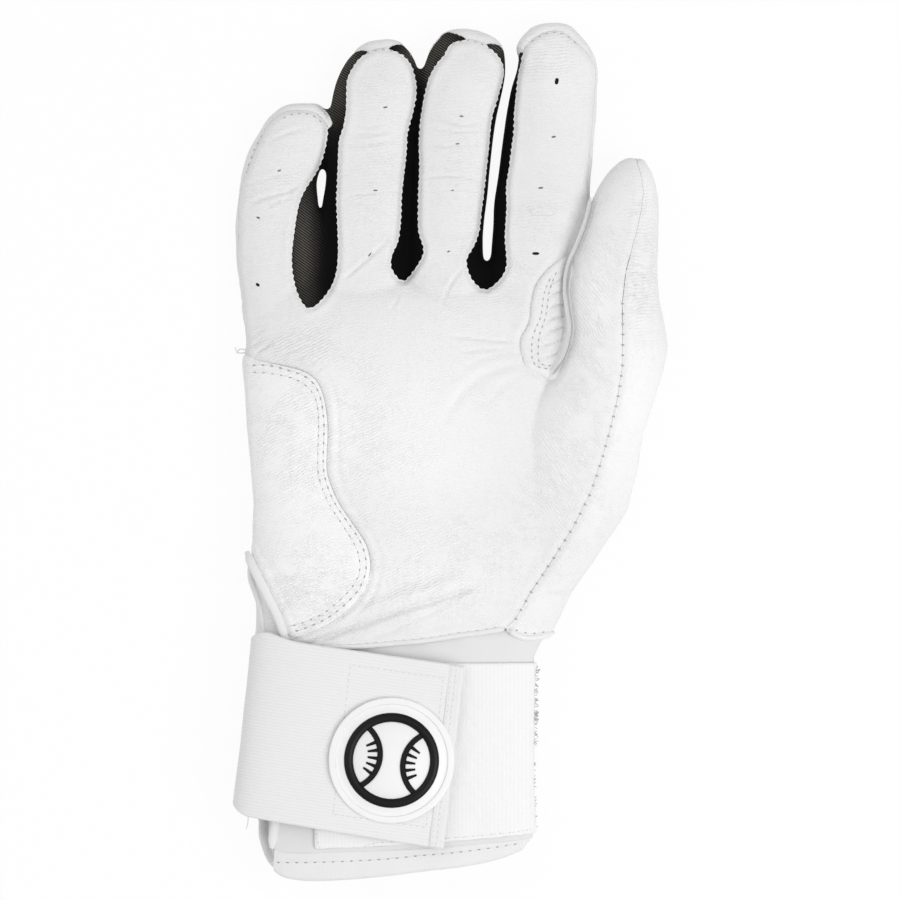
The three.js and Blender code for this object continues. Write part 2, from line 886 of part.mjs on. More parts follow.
function strapPlan(margin) {
  const fold = foldHalfWidth - margin;
  const end = endHalfWidth - margin;
  return [
    [strapFoldU - elastic, -fold + foldCorner],
    [strapFoldU + foldCorner, -fold],
    [strapEndU, -end],
    [strapEndU, end],
    [strapFoldU - elastic, fold],
  ];
}

// The flap turns about the outer face of the fold. Its end there is a full round; the sewn part stops
// below it.
const foldRound = elastic / 2;
const knuckleLong = foldHalfWidth * 2 - foldCorner;
const knuckle = new THREE.CylinderGeometry(foldRound, foldRound, knuckleLong, digitSides)
  .translate(strapFoldU + foldRound, foldCorner / 2, strapMiddleZ);
const flapBand = strapBand(-cutRun * 2, strapEndU - endTapeWidth - seam, 0, elastic, 1, strapPlan(0));
const flap = flapBand.add(fromGeometry(knuckle));
const anchorTop = strapMiddleZ - foldRound - knuckleClear;
const anchorBand = strapBand(-cutRun * 2, anchorEndU, 0, elastic, -1, [
  [strapFoldU - elastic, -foldHalfWidth + foldCorner],
  [strapFoldU + foldCorner, -foldHalfWidth],
  [anchorEndU, -foldHalfWidth],
  [anchorEndU, foldHalfWidth],
  [strapFoldU - elastic, foldHalfWidth],
]);
const anchor = anchorBand.intersect(prism(
  [[-cutRun * 2, -cutRun], [cutRun * 2, -cutRun], [cutRun * 2, cutRun], [-cutRun * 2, cutRun]],
  -cutRun,
  anchorTop,
));
const endTape = strapBand(
  strapEndU - endTapeWidth,
  strapEndU,
  -endTapeProud,
  elastic + endTapeProud,
  1,
  strapPlan(0),
);
const hookEnd = strapEndU - endTapeWidth - seam;
const hook = strapBand(
  hookEnd - hookWidth,
  hookEnd,
  -seam - hookTape,
  -seam,
  1,
  strapPlan(hookMargin),
);

// Badge: a round rubber plate with a raised rim and a plain ball figure
const plateZ = strapTop + elastic + seam;
const inlayZ = plateZ + rubber + seam / 2;

function disc(radius, low, high) {
  return fromGeometry(new THREE.CylinderGeometry(radius, radius, high - low, curveSteps)
    .rotateX(Math.PI / 2)
    .translate(0, 0, (low + high) / 2));
}

function annulus(radius, width, low, high) {
  return disc(radius, low, high).subtract(disc(radius - width, low - cutRun, high + cutRun));
}

const plate = disc(badgeRadius, plateZ, plateZ + rubber)
  .add(annulus(badgeRadius, badgeRim, plateZ, plateZ + rubber + badgeRimHeight));
const ringFigure = annulus(ringRadius, ringWidth, inlayZ, inlayZ + inlay);

// One seam of the ball: an arc of an annulus with short stitches across it
function ballSeam(side) {
  const middle = side * seamArcOffset;
  const inside = disc(ringRadius - ringWidth - seam, inlayZ, inlayZ + inlay);
  const arc = annulus(seamArcRadius, seamArcWidth, inlayZ, inlayZ + inlay);
  const parts = [fromPlaced(arc, middle, 0, 0)];
  const bar = prism(
    [
      [-stitchLength / 2, -stitchWidth / 2],
      [stitchLength / 2, -stitchWidth / 2],
      [stitchLength / 2, stitchWidth / 2],
      [-stitchLength / 2, stitchWidth / 2],
    ],
    inlayZ,
    inlayZ + inlay,
  );
  for (let index = 0; index < stitchesPerSeam; index += 1) {
    const turn = ((index + 0.5) / stitchesPerSeam - 0.5) * 2 * seamArcHalfTurn;
    const reach = seamArcRadius - seamArcWidth - stitchLength / 2 + seam;
    const x = middle - side * reach * Math.cos(turn);
    parts.push(fromPlaced(bar, x, reach * Math.sin(turn), -side * turn));
  }
  return joined(parts).intersect(inside);
}

function fromPlaced(solid, x, y, turn) {
  return solid.rotate([0, 0, THREE.MathUtils.radToDeg(turn)]).translate([x, y, 0]);
}

// The glove and its strap
const glove = new THREE.Group();
glove.add(meshOf("palm_panel", palmPanel, materials.leather));
glove.add(meshOf("back_panel", backPanel, materials.leather));
glove.add(meshOf("thumb_side_panel", sidePanel, materials.leather));
for (const [name, wall] of Object.entries(walls)) {
  glove.add(meshOf(`sidewall_${name}`, knitSkin.intersect(wall), materials.knit));
}
glove.add(meshOf("thumb_fork_patch", forkPatch, materials.leather));
glove.add(meshOf("heel_patch", heelPatch, materials.leather));
glove.add(meshOf("knuckle_stretch_panel", knuckleKnit, materials.fabric));
glove.add(meshOf("cuff_palm_panel", cuffPalm, materials.fabric));
glove.add(meshOf("cuff_back_panel", cuffBack, materials.fabric));
glove.add(meshOf("cuff_gusset", gusset, materials.fabric));
glove.add(meshOf("opening_binding", slitBinding, materials.fabric));
glove.add(meshOf("cuff_hem", hemTape, materials.fabric));
glove.add(meshOf("loop_panel", loopPanel, materials.fabric));

const strap = new THREE.Group();
strap.add(meshOf("strap_anchor", anchor, materials.elastic));
strap.add(meshOf("strap_flap", flap, materials.elastic));
strap.add(meshOf("strap_end_tape", endTape, materials.elastic));
strap.add(meshOf("hook_patch", hook, materials.fabric));

const badge = new THREE.Group();
badge.add(meshOf("badge_plate", plate, materials.rubber));
badge.add(meshOf("badge_ring", ringFigure, materials.black));
badge.add(meshOf("badge_seam_left", ballSeam(-1), materials.black));
badge.add(meshOf("badge_seam_right", ballSeam(1), materials.black));
badge.position.set(badgeU, badgeV, 0);
badge.rotation.z = THREE.MathUtils.degToRad(badgeTurn);
strap.add(badge);

strap.position.set(cuffAxisX, strapY, 0);
strap.rotation.z = THREE.MathUtils.degToRad(strapTilt);
glove.add(strap);

export default glove;
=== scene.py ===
# White batting glove lying palm up: leather panels, black knit walls, long cuff, elastic wrist strap
import math

import bmesh
import bpy
import numpy as np
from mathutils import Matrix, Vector
from mathutils.bvhtree import BVHTree


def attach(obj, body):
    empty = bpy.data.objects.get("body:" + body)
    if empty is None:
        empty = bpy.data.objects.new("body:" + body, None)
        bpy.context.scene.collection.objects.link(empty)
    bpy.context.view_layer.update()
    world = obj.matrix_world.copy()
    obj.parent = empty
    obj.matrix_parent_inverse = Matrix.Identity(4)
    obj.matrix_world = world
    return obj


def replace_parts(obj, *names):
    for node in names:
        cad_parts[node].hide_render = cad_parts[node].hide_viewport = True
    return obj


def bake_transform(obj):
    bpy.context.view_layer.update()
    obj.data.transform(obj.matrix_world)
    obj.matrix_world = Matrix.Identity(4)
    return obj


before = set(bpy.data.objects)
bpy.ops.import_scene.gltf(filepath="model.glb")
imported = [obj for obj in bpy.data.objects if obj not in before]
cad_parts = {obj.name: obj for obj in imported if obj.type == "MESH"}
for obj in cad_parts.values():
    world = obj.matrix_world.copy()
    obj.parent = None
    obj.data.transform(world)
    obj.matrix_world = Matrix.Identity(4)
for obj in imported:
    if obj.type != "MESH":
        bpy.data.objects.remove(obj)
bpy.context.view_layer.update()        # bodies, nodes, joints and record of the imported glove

metres = 0.001

# The photograph looks straight down. Outlines are written as places in its frame and turned to
# millimetres by toMm.
photo = {
    "mmPerPixel": 0.305,
    "middleX": 449.5,
    "middleY": 449.0,
}


def toMm(points):
    flat = np.asarray(points, dtype=float)
    x = (flat[..., 0] - photo["middleX"]) * photo["mmPerPixel"]
    y = (photo["middleY"] - flat[..., 1]) * photo["mmPerPixel"]
    return np.stack([x, y], axis=-1)


# Curves and distances

def unit(vectors):
    return vectors / np.maximum(np.linalg.norm(vectors, axis=-1, keepdims=True), 1e-9)


def bell(distance, width):
    return np.exp(-(distance / width) ** 2)


def roundedEdge(distance, radius):
    # how far a rounded edge has dropped at this distance from it, as a share of its radius
    return 1 - np.sqrt(1 - np.clip(1 - distance / radius, 0, 1) ** 2)


def roundedSquare(sides, square):
    # a closed curve, from a circle at 2 towards a square, as shares of its half width and half height
    turn = np.linspace(0, 2 * np.pi, sides, endpoint=False)
    return [np.sign(wave) * np.abs(wave) ** (2 / square) for wave in (np.cos(turn), np.sin(turn))]


def smoothLine(points, step=1.0, closed=False):
    # a Catmull-Rom curve through the points, sampled about every step millimetres
    points = np.asarray(points, dtype=float)
    count = len(points)
    if closed:
        points = np.concatenate([points[-1:], points, points[:2]])
    else:
        first = 2 * points[0] - points[1]
        last = 2 * points[-1] - points[-2]
        points = np.concatenate([[first], points, [last]])
    out = []
    for index in range(count if closed else count - 1):
        a, b, c, d = points[index:index + 4]
        steps = max(1, int(np.linalg.norm(c - b) / step))
        t = (np.arange(steps) / steps)[:, None]
        out.append(0.5 * (2 * b + (c - a) * t + (2 * a - 5 * b + 4 * c - d) * t ** 2
                          + (3 * b - a - 3 * c + d) * t ** 3))
    if not closed:
        out.append(points[-2:-1])
    return np.concatenate(out)


def evenLine(points, step, closed=False):
    # the same line with samples exactly step apart, and their directions
    if closed:
        points = np.concatenate([points, points[:1]])
    reach = np.linalg.norm(np.diff(points, axis=0), axis=1)
    along = np.concatenate([[0], np.cumsum(reach)])
    count = max(2, int(round(along[-1] / step)) + (0 if closed else 1))
    places = np.linspace(0, along[-1], count, endpoint=not closed)
    even, ahead, back = (np.stack([np.interp(places + shift * step, along, column)
                                   for column in points.T], axis=1)
                         for shift in (0, 0.4, -0.4))
    return even, unit(ahead - back)


def outlineOf(points, step=0.9, smooth=True):
    # closed outline in millimetres through places in the photo
    places = smoothLine(toMm(points), 1.0, closed=True) if smooth else toMm(points)
    return evenLine(places, step, closed=True)[0]


def lineDistance(places, line, closed=False):
    # distance from each place to a line, how far along the line that is, and whether it is inside
    ends = np.concatenate([line, line[:1]]) if closed else line
    start = ends[:-1].astype(np.float32)
    run = np.diff(ends, axis=0).astype(np.float32)
    lengths = np.maximum(np.linalg.norm(run, axis=1), 1e-6)
    before = np.concatenate([[0], np.cumsum(lengths)])[:-1]
    distance = np.empty(len(places))
    along = np.empty(len(places))
    inside = np.zeros(len(places), dtype=bool)
    batch = 8192
    for first in range(0, len(places), batch):
        rowsNow = slice(first, first + batch)
        part = places[rowsNow].astype(np.float32)
        dx = part[:, None, 0] - start[None, :, 0]
        dy = part[:, None, 1] - start[None, :, 1]
        t = np.clip((dx * run[:, 0] + dy * run[:, 1]) / lengths ** 2, 0, 1)
        gap = (dx - t * run[:, 0]) ** 2 + (dy - t * run[:, 1]) ** 2
        nearest = gap.argmin(axis=1)
        rows = np.arange(len(part))
        distance[rowsNow] = np.sqrt(gap[rows, nearest])
        along[rowsNow] = before[nearest] + t[rows, nearest] * lengths[nearest]
        if closed:
            crosses = (dy >= 0) != (dy - run[:, 1] >= 0)
            reachX = dx - run[:, 0] * dy / np.where(run[:, 1] == 0, 1e-9, run[:, 1])
            inside[rowsNow] = (crosses & (reachX < 0)).sum(axis=1) % 2 == 1
    return distance, along, inside


def within(places, outline, scallop=0.0, pitch=1.8):
    # signed distance to an outline, positive inside, with a sewn edge's small scallops
    far = 12.0
    near = np.all((places > outline.min(axis=0) - far) & (places < outline.max(axis=0) + far), axis=1)
    field = np.full(len(places), -far)
    distance, along, inside = lineDistance(places[near], outline, closed=True)
    signed = np.where(inside, distance, -distance)
    if scallop:
        signed = signed - scallop * np.abs(np.sin(np.pi * along / pitch))
    field[near] = signed
    return field


def smoothed(values, steps):
    # rows evened out with their neighbours
    values = values.copy()
    for _ in range(steps):
        values[1:-1] = values[:-2] * 0.25 + values[1:-1] * 0.5 + values[2:] * 0.25
    return values


def smoothStep(value, low, high):
    t = np.clip((value - low) / (high - low), 0, 1)
    return t * t * (3 - 2 * t)


# Meshes

def makeObject(name, corners, faces):
    mesh = bpy.data.meshes.new(name)
    mesh.from_pydata((np.asarray(corners) * metres).tolist(), [], [list(face) for face in faces])
    mesh.validate()
    piece = bpy.data.objects.new(name, mesh)
    bpy.context.collection.objects.link(piece)
    return piece


def onlySelect(piece):
    bpy.ops.object.select_all(action="DESELECT")
    piece.select_set(True)
    bpy.context.view_layer.objects.active = piece


def applyModifier(piece, kind, **settings):
    onlySelect(piece)
    modifier = piece.modifiers.new(kind.lower(), kind)
    for key, value in settings.items():
        setattr(modifier, key, value)
    bpy.ops.object.modifier_apply(modifier=modifier.name)


def cornersOf(piece):
    flat = np.empty(len(piece.data.vertices) * 3)
    piece.data.vertices.foreach_get("co", flat)
    return flat.reshape(-1, 3) / metres


def trianglesOf(piece):
    piece.data.calc_loop_triangles()
    flat = np.empty(len(piece.data.loop_triangles) * 3, dtype=np.int32)
    piece.data.loop_triangles.foreach_get("vertices", flat)
    return flat.reshape(-1, 3)


def normalsOf(corners, triangles):
    a, b, c = (corners[triangles[:, side]] for side in range(3))
    face = np.cross(b - a, c - a)
    out = np.zeros_like(corners)
    for side in range(3):
        np.add.at(out, triangles[:, side], face)
    return unit(out)


def smoothShading(piece, degrees=40):
    onlySelect(piece)
    bpy.ops.object.shade_smooth_by_angle(angle=math.radians(degrees))


def loftRings(rings, closed=True):
    # corners and faces of rings of equal count, each joined to the next
    sides = len(rings[0])
    corners = np.concatenate(rings)
    faces = []
    for row in range(len(rings) - 1):
        for side in range(sides):
            here = row * sides + side
            nextSide = row * sides + (side + 1) % sides
            faces.append((here, nextSide, nextSide + sides, here + sides))
    if closed:
        faces.append(tuple(range(sides - 1, -1, -1)))
        faces.append(tuple(range((len(rings) - 1) * sides, len(rings) * sides)))
    return corners, faces


def stacked(shapes):
    # several shapes, each with its corners and faces, as one
    corners, faces, shift = [], [], 0
    for places, loops in shapes:
        corners.append(places)
        faces += [tuple(corner + shift for corner in loop) for loop in loops]
        shift += len(places)
    return np.concatenate(corners), faces


def gridTriangles(rows, columns):
    index = np.arange(rows * columns).reshape(rows, columns)
    quads = np.stack([index[:-1, :-1], index[1:, :-1], index[1:, 1:], index[:-1, 1:]], axis=-1)
    quads = quads.reshape(-1, 4)
    return np.concatenate([quads[:, [0, 1, 2]], quads[:, [0, 2, 3]]])


def edgesOf(triangles):
    return np.concatenate([triangles[:, [0, 1]], triangles[:, [1, 2]], triangles[:, [2, 0]]])


heaviest = 190000       # triangles of one piece; the inner faces are thinned to keep to it
drawnValues = {"levelFolds", "risingFolds", "fallingFolds", "litAndStretched", "tautAndLit"}


class Skin:
    # triangles with a set of values at each corner that cuts and joins carry along
    def __init__(self, corners, triangles, values):
        self.corners = corners
        self.triangles = triangles
        self.values = values

    def kept(self, mask):
        triangles = self.triangles[mask]
        used = np.unique(triangles)
        place = np.full(len(self.corners), -1)
        place[used] = np.arange(len(used))
        values = {key: value[used] for key, value in self.values.items()}
        return Skin(self.corners[used], place[triangles], values)

    def split(self, field):
        # cuts the triangles along the line where the field is nought; gives both sides
        field = field.copy()
        field[np.abs(field) < 1e-7] = 1e-7
        edges = np.unique(np.sort(edgesOf(self.triangles), axis=1), axis=0)
        crossing = edges[(field[edges[:, 0]] > 0) != (field[edges[:, 1]] > 0)]
        a, b = crossing[:, 0], crossing[:, 1]
        t = field[a] / (field[a] - field[b])
        near = 0.12         # a corner that lies this share of an edge from the line moves onto it
        moved = self.corners.copy()
        onLine = np.zeros(len(field), dtype=bool)
        for corner, other, share in ((a, b, t), (b, a, 1 - t)):
            close = (share < near) & ~onLine[corner]
            picked, first = np.unique(corner[close], return_index=True)
            others = other[close][first]
            shares = share[close][first][:, None]
            moved[picked] = self.corners[picked] * (1 - shares) + self.corners[others] * shares
            onLine[picked] = True
        sign = np.where(onLine, 0, np.sign(field)).astype(int)
        crossing = edges[sign[edges[:, 0]] * sign[edges[:, 1]] < 0]
        a, b = crossing[:, 0], crossing[:, 1]
        t = (field[a] / (field[a] - field[b]))[:, None]
        count = len(self.corners)
        corners = np.concatenate([moved, moved[a] * (1 - t) + moved[b] * t])
        values = {}
        for key, value in self.values.items():
            share = t[:, 0] if value.ndim == 1 else t
            values[key] = np.concatenate([value, value[a] * (1 - share) + value[b] * share])
        middle = {(int(low), int(high)): count + index for index, (low, high) in enumerate(crossing)}
        signs = sign[self.triangles]
        low, high = signs.min(axis=1), signs.max(axis=1)
        plain = ~((low < 0) & (high > 0))
        sides = {1: [self.triangles[plain & (high > 0)]],
                 -1: [self.triangles[plain & (high <= 0) & (low < 0)]]}
        flat = plain & (high == 0) & (low == 0)
        sides[1].append(self.triangles[flat])
        made = {1: [], -1: []}
        for triangle, marks in zip(self.triangles[~plain].tolist(), signs[~plain].tolist()):
            if 0 in marks:
                turn = marks.index(0)
                p, q, r = (triangle[(turn + step) % 3] for step in range(3))
                cut = middle[(min(q, r), max(q, r))]
                made[marks[(turn + 1) % 3]].append((p, q, cut))
                made[marks[(turn + 2) % 3]].append((p, cut, r))
                continue
            lone = 1 if marks.count(1) == 1 else -1
            turn = marks.index(lone)
            p, q, r = (triangle[(turn + step) % 3] for step in range(3))
            first = middle[(min(p, q), max(p, q))]
            second = middle[(min(p, r), max(p, r))]
            made[lone].append((p, first, second))
            made[-lone].append((first, q, r))
            made[-lone].append((first, r, second))
        out = []
        for side in (1, -1):
            triangles = np.concatenate(sides[side] + [np.array(made[side], dtype=int).reshape(-1, 3)])
            whole = Skin(corners, triangles, values)
            out.append(whole.kept(np.ones(len(triangles), dtype=bool)))
        return out

    def shell(self, name, outer=0.0, inner=-0.9):
        # a closed wall between two offsets from the skin, which may differ from corner to corner
        normals = unit(self.values["normal"])
        outer = np.broadcast_to(outer, len(normals))[:, None]
        inner = np.broadcast_to(inner, len(normals))[:, None]
        count = len(self.corners)
        corners = np.concatenate([self.corners + normals * outer, self.corners + normals * inner])
        edges = edgesOf(self.triangles)
        keys = edges[:, 0].astype(np.int64) * count + edges[:, 1]
        back = edges[:, 1].astype(np.int64) * count + edges[:, 0]
        rim = edges[~np.isin(keys, back)]
        walls = np.concatenate([np.stack([rim[:, 0], rim[:, 0] + count, rim[:, 1]], axis=1),
                                np.stack([rim[:, 1], rim[:, 0] + count, rim[:, 1] + count], axis=1)])
        faces = np.concatenate([self.triangles, self.triangles[:, ::-1] + count, walls])
        piece = makeObject(name, corners, faces)
        if len(faces) > heaviest:
            inside = piece.vertex_groups.new(name="inside")
            inside.add(list(range(count, 2 * count)), 1.0, "REPLACE")
        for key, value in self.values.items():
            if key in drawnValues:
                attribute = piece.data.attributes.new(key, "FLOAT", "POINT")
                attribute.data.foreach_set("value", np.concatenate([value, value]).astype(np.float32))
        if len(faces) > heaviest:
            applyModifier(piece, "DECIMATE", ratio=heaviest / len(faces), vertex_group="inside")
        return piece


# Filled form of the hand. Rows are places in the photo: y, left edge, right edge; then thickness and
# height of the middle in millimetres.
form = {
    "voxel": 0.62,          # mm
    "smoothSteps": 10,
    "grow": 0.7,            # px that smoothing takes off each side
    "sides": 72,
    "square": 2.35,         # 2 is an ellipse
    "rest": -0.5,           # the form is pressed this far into the surface before it is flattened
    "rowStep": 2.4,         # px between rings
    "evening": 5,           # times that the rows are evened out
    "tipShares": (0.55, 0.86),      # rings that close a tip, as shares of the way to it
    "tipPower": 2.2,
}

fingerRows = {
    "little": {
        "rows": [
            (330, 250, 318, 15.5, 7.4),
            (300, 241, 319, 15.0, 7.2),
            (262, 235.5, 319, 14.4, 6.9),
            (228, 234.5, 318, 14.2, 6.8),
            (215, 235, 317.4, 14.1, 6.8),
            (180, 239.5, 316.2, 13.8, 6.8),
            (165, 243, 320.5, 13.6, 6.9),
            (150, 248, 326, 13.3, 7.0),
            (130, 259.5, 331.5, 12.6, 7.0),
            (118, 266, 331, 11.8, 7.0),
            (110, 274.5, 328, 10.2, 7.0),
            (105, 283, 322, 7.8, 7.0),
        ],
        "tip": (300, 101.8),
    },
    "ring": {
        "rows": [
            (330, 322, 410, 17.0, 8.2),
            (290, 317, 409, 16.2, 7.8),
            (262, 317.5, 407.5, 15.6, 7.4),
            (230, 319.5, 408, 15.4, 7.3),
            (215, 320.9, 408.5, 15.4, 7.3),
            (201, 322.4, 409, 15.4, 7.3),
            (177, 324.6, 410, 15.3, 7.3),
            (160, 325.3, 411, 15.2, 7.2),
            (146, 326, 411.5, 15.2, 7.2),
            (120, 327, 414.5, 15.2, 7.2),
            (95, 331.5, 418.5, 15.0, 7.2),
            (80, 334.5, 419.5, 14.4, 7.2),
            (67, 340, 418, 13.0, 7.2),
            (56, 348, 413, 11.0, 7.2),
            (47, 358, 407, 8.4, 7.2),
            (42, 367, 401, 5.8, 7.2),
        ],
        "tip": (386, 38.2),
    },
    "middle": {
        "rows": [
            (330, 406, 490, 17.4, 8.4),
            (290, 408, 491, 16.6, 8.0),
            (268, 408, 490, 16.2, 7.8),
            (258, 408.5, 482.5, 16.0, 7.6),
            (236, 409, 482.5, 15.8, 7.5),
            (209, 410, 485.5, 15.8, 7.5),
            (178, 411.5, 488.5, 15.7, 7.5),
            (145, 413, 492, 15.6, 7.4),
            (115, 416.5, 496, 15.6, 7.4),
            (90, 419.5, 501.5, 15.4, 7.4),
            (71, 420.5, 505.5, 14.6, 7.4),
            (58, 425.5, 505.5, 13.2, 7.4),
            (46, 430.5, 504, 11.0, 7.4),
            (36, 438, 495, 8.0, 7.4),
            (30.5, 444, 482, 5.2, 7.4),
        ],
        "tip": (461, 27.0),
    },
    "index": {
        "rows": [
            (330, 484, 560, 17.4, 8.4),
            (295, 484, 566, 16.6, 8.0),
            (268, 484, 569, 16.2, 7.8),
            (258, 490.5, 571, 16.0, 7.6),
            (235, 491.5, 579, 15.8, 7.5),
            (205, 493, 589, 15.7, 7.4),
            (175, 497.5, 590.5, 15.6, 7.3),
            (140, 502, 593, 15.5, 7.2),
            (112, 506, 596, 15.4, 7.2),
            (86, 511.5, 597, 15.0, 7.2),
            (70, 516, 598, 14.2, 7.2),
            (56, 518, 594.5, 12.6, 7.2),
            (42, 517, 586, 10.4, 7.2),
            (31, 525, 577, 7.8, 7.2),
            (24.5, 533, 570, 5.2, 7.2),
        ],
        "tip": (553, 20.2),
    },
}
thumbRows = {
    "rows": [
        (590, 515, 571, 17.0, 10.2),
        (550, 510, 600, 18.6, 10.8),
        (510, 508, 626.5, 19.6, 11.2),
        (470, 508, 636.5, 20.2, 11.6),
        (430, 516, 642, 20.2, 12.0),
        (400, 530, 653, 20.2, 12.4),
        (375, 550, 661, 20.0, 12.6),
        (345, 565.5, 667, 19.8, 12.8),
        (325, 569, 664.5, 19.6, 12.8),
        (300, 566.5, 658, 19.4, 12.8),
        (270, 569, 655, 19.0, 12.8),
        (240, 579.5, 657, 18.2, 12.8),
        (210, 589, 657.5, 16.8, 12.7),
        (190, 595.5, 655.5, 15.2, 12.6),
        (175, 604.5, 651.5, 12.6, 12.5),
        (165, 613.5, 646.5, 9.4, 12.4),
        (159.5, 622.5, 641.5, 5.8, 12.4),
    ],
    "tip": (633, 156.6),
}
handRows = {
    "rows": [
        (672, 247, 545, 20.6, 10.8),
        (650, 250, 548, 21.2, 10.9),
        (630, 254.5, 552, 21.8, 11.0),
        (600, 255, 566, 22.2, 11.1),
        (570, 247.5, 582, 22.4, 11.1),
        (540, 256, 592, 22.4, 11.1),
        (500, 257.5, 600, 22.2, 11.0),
        (450, 252.5, 598, 21.8, 10.8),
        (400, 248, 585, 21.0, 10.4),
        (360, 243, 574, 19.8, 9.8),
        (345, 245.5, 572, 19.2, 9.5),
        (330, 244.5, 570, 18.6, 9.2),
        (315, 242, 568, 18.0, 8.9),
        (300, 240.5, 567, 17.2, 8.5),
        (291, 243, 564, 15.6, 8.2),
        (284, 250, 556, 12.6, 8.0),
        (279, 262, 545, 8.6, 7.8),
    ],
    "tip": (400, 277),
}


def formLoft(spec):
    rows = np.array(spec["rows"], dtype=float)
    ys = np.append(np.arange(rows[0, 0], rows[-1, 0], -form["rowStep"]), rows[-1, 0])
    order = rows[::-1]
    table = np.stack([np.interp(ys, order[:, 0], order[:, column]) for column in range(1, 5)], axis=1)
    table = smoothed(table, form["evening"])
    across, up = roundedSquare(form["sides"], form["square"])
    rings = []
    for y, (left, right, thick, middle) in zip(ys, table):
        edge = toMm([(left - form["grow"], y), (right + form["grow"], y)])
        x = edge[:, 0].mean() + across * (edge[1, 0] - edge[0, 0]) / 2
        z = middle + form["rest"] + up * thick / 2
        rings.append(np.stack([x, np.full_like(x, edge[0, 1]), z], axis=1))
    last = rings[-1]
    centre = np.array([*toMm(spec["tip"]), last[:, 2].mean()])
    for share in form["tipShares"]:
        drawnIn = share ** form["tipPower"]
        rings.append(last + (centre - last) * np.array([drawnIn, share, drawnIn]))
    return loftRings(rings)


print("form of the hand")
shapes = [formLoft(spec) for spec in (*fingerRows.values(), thumbRows, handRows)]
hand = makeObject("hand_form", *stacked(shapes))
applyModifier(hand, "REMESH", mode="VOXEL", voxel_size=form["voxel"] * metres)
applyModifier(hand, "SMOOTH", factor=0.5, iterations=form["smoothSteps"])
handCorners = cornersOf(hand)
handTriangles = trianglesOf(hand)
bpy.data.objects.remove(hand)
print("form has", len(handCorners), "corners", handCorners.min(axis=0).round(1),
      handCorners.max(axis=0).round(1))

# Cut lines of the leather, as places in the photo

littleFace = [(236.5, 232), (237, 205), (241, 182), (248.5, 162), (256, 145), (265, 127), (274, 116),
              (284, 110.5), (296, 109), (307, 110), (316, 112.5), (323, 119.5), (328, 127.5), (327, 140),
              (323.5, 156), (317.5, 172), (305, 191), (299, 207), (295, 232), (292.5, 256), (294, 276),
              (299, 294), (307.5, 306.5)]
ringFace = [(317.4, 302), (327, 290), (334, 275), (336.5, 256), (336, 226), (335, 196), (336, 162),
            (337.5, 140), (342, 126), (344.5, 110), (345, 90), (346, 77), (355.5, 60), (368, 50.5),
            (383.5, 47.5), (398, 51), (410, 61), (416, 76), (417.4, 92), (413.8, 111.5), (408.8, 131.5),
            (406.8, 156), (403, 192), (402.2, 216), (399.5, 239), (393, 254), (391.5, 265), (396, 274),
            (403, 279)]
middleFace = [(409, 273), (420.5, 256), (421.5, 246), (416.8, 232), (415.8, 214), (416.8, 188), (418, 166),
              (417, 140), (419, 115), (423, 91), (428, 75), (436, 61.5), (443, 54), (446, 47), (453, 40.5),
              (467, 38), (480, 40.5), (492, 48), (501.5, 58), (505, 70), (501.5, 85), (497, 102),
              (493.5, 114), (491, 132), (489.5, 151), (486, 183), (483, 210), (480.5, 230), (475, 245),
              (467.7, 257), (467.3, 265), (472.8, 279), (485, 288)]
indexFace = [(499.5, 277), (504.6, 266), (504.6, 254), (503, 234), (504.8, 204), (504.4, 186),
             (507.7, 163), (511.8, 132), (512.4, 112), (515, 90), (517.2, 70), (521.5, 51), (530, 39.5),
             (543, 31.4), (556, 29), (567, 33), (577, 42), (586, 50.5), (593, 60), (596.4, 73), (595, 96),
             (592.2, 132), (590, 160), (588.5, 185), (588.6, 206)]
thumbFace = [(591, 195), (599, 176), (612, 161), (625, 152), (634, 151.5), (636.5, 162)]
thumbSeam = [(640.5, 175.3), (642.5, 190.6), (640.5, 209), (635.9, 230.4), (630.5, 250), (624.5, 271.9),
             (620.8, 303.8), (621, 335.7), (620.5, 367.6), (615.7, 399.4), (608.6, 428), (600.6, 456.8),
             (589.4, 490), (571, 527), (551, 559), (528, 594), (515, 617)]
palmHem = [(505, 627), (482, 631), (458, 634), (425, 639), (393, 642), (355, 645), (320, 646), (289, 637)]
slitEdge = [(280, 613), (267, 587), (256, 565), (249.5, 551)]
outerEdge = [(251, 520), (251, 480), (248, 440), (245, 400), (243, 365), (246, 345), (243, 325),
             (240.5, 300), (236, 270)]
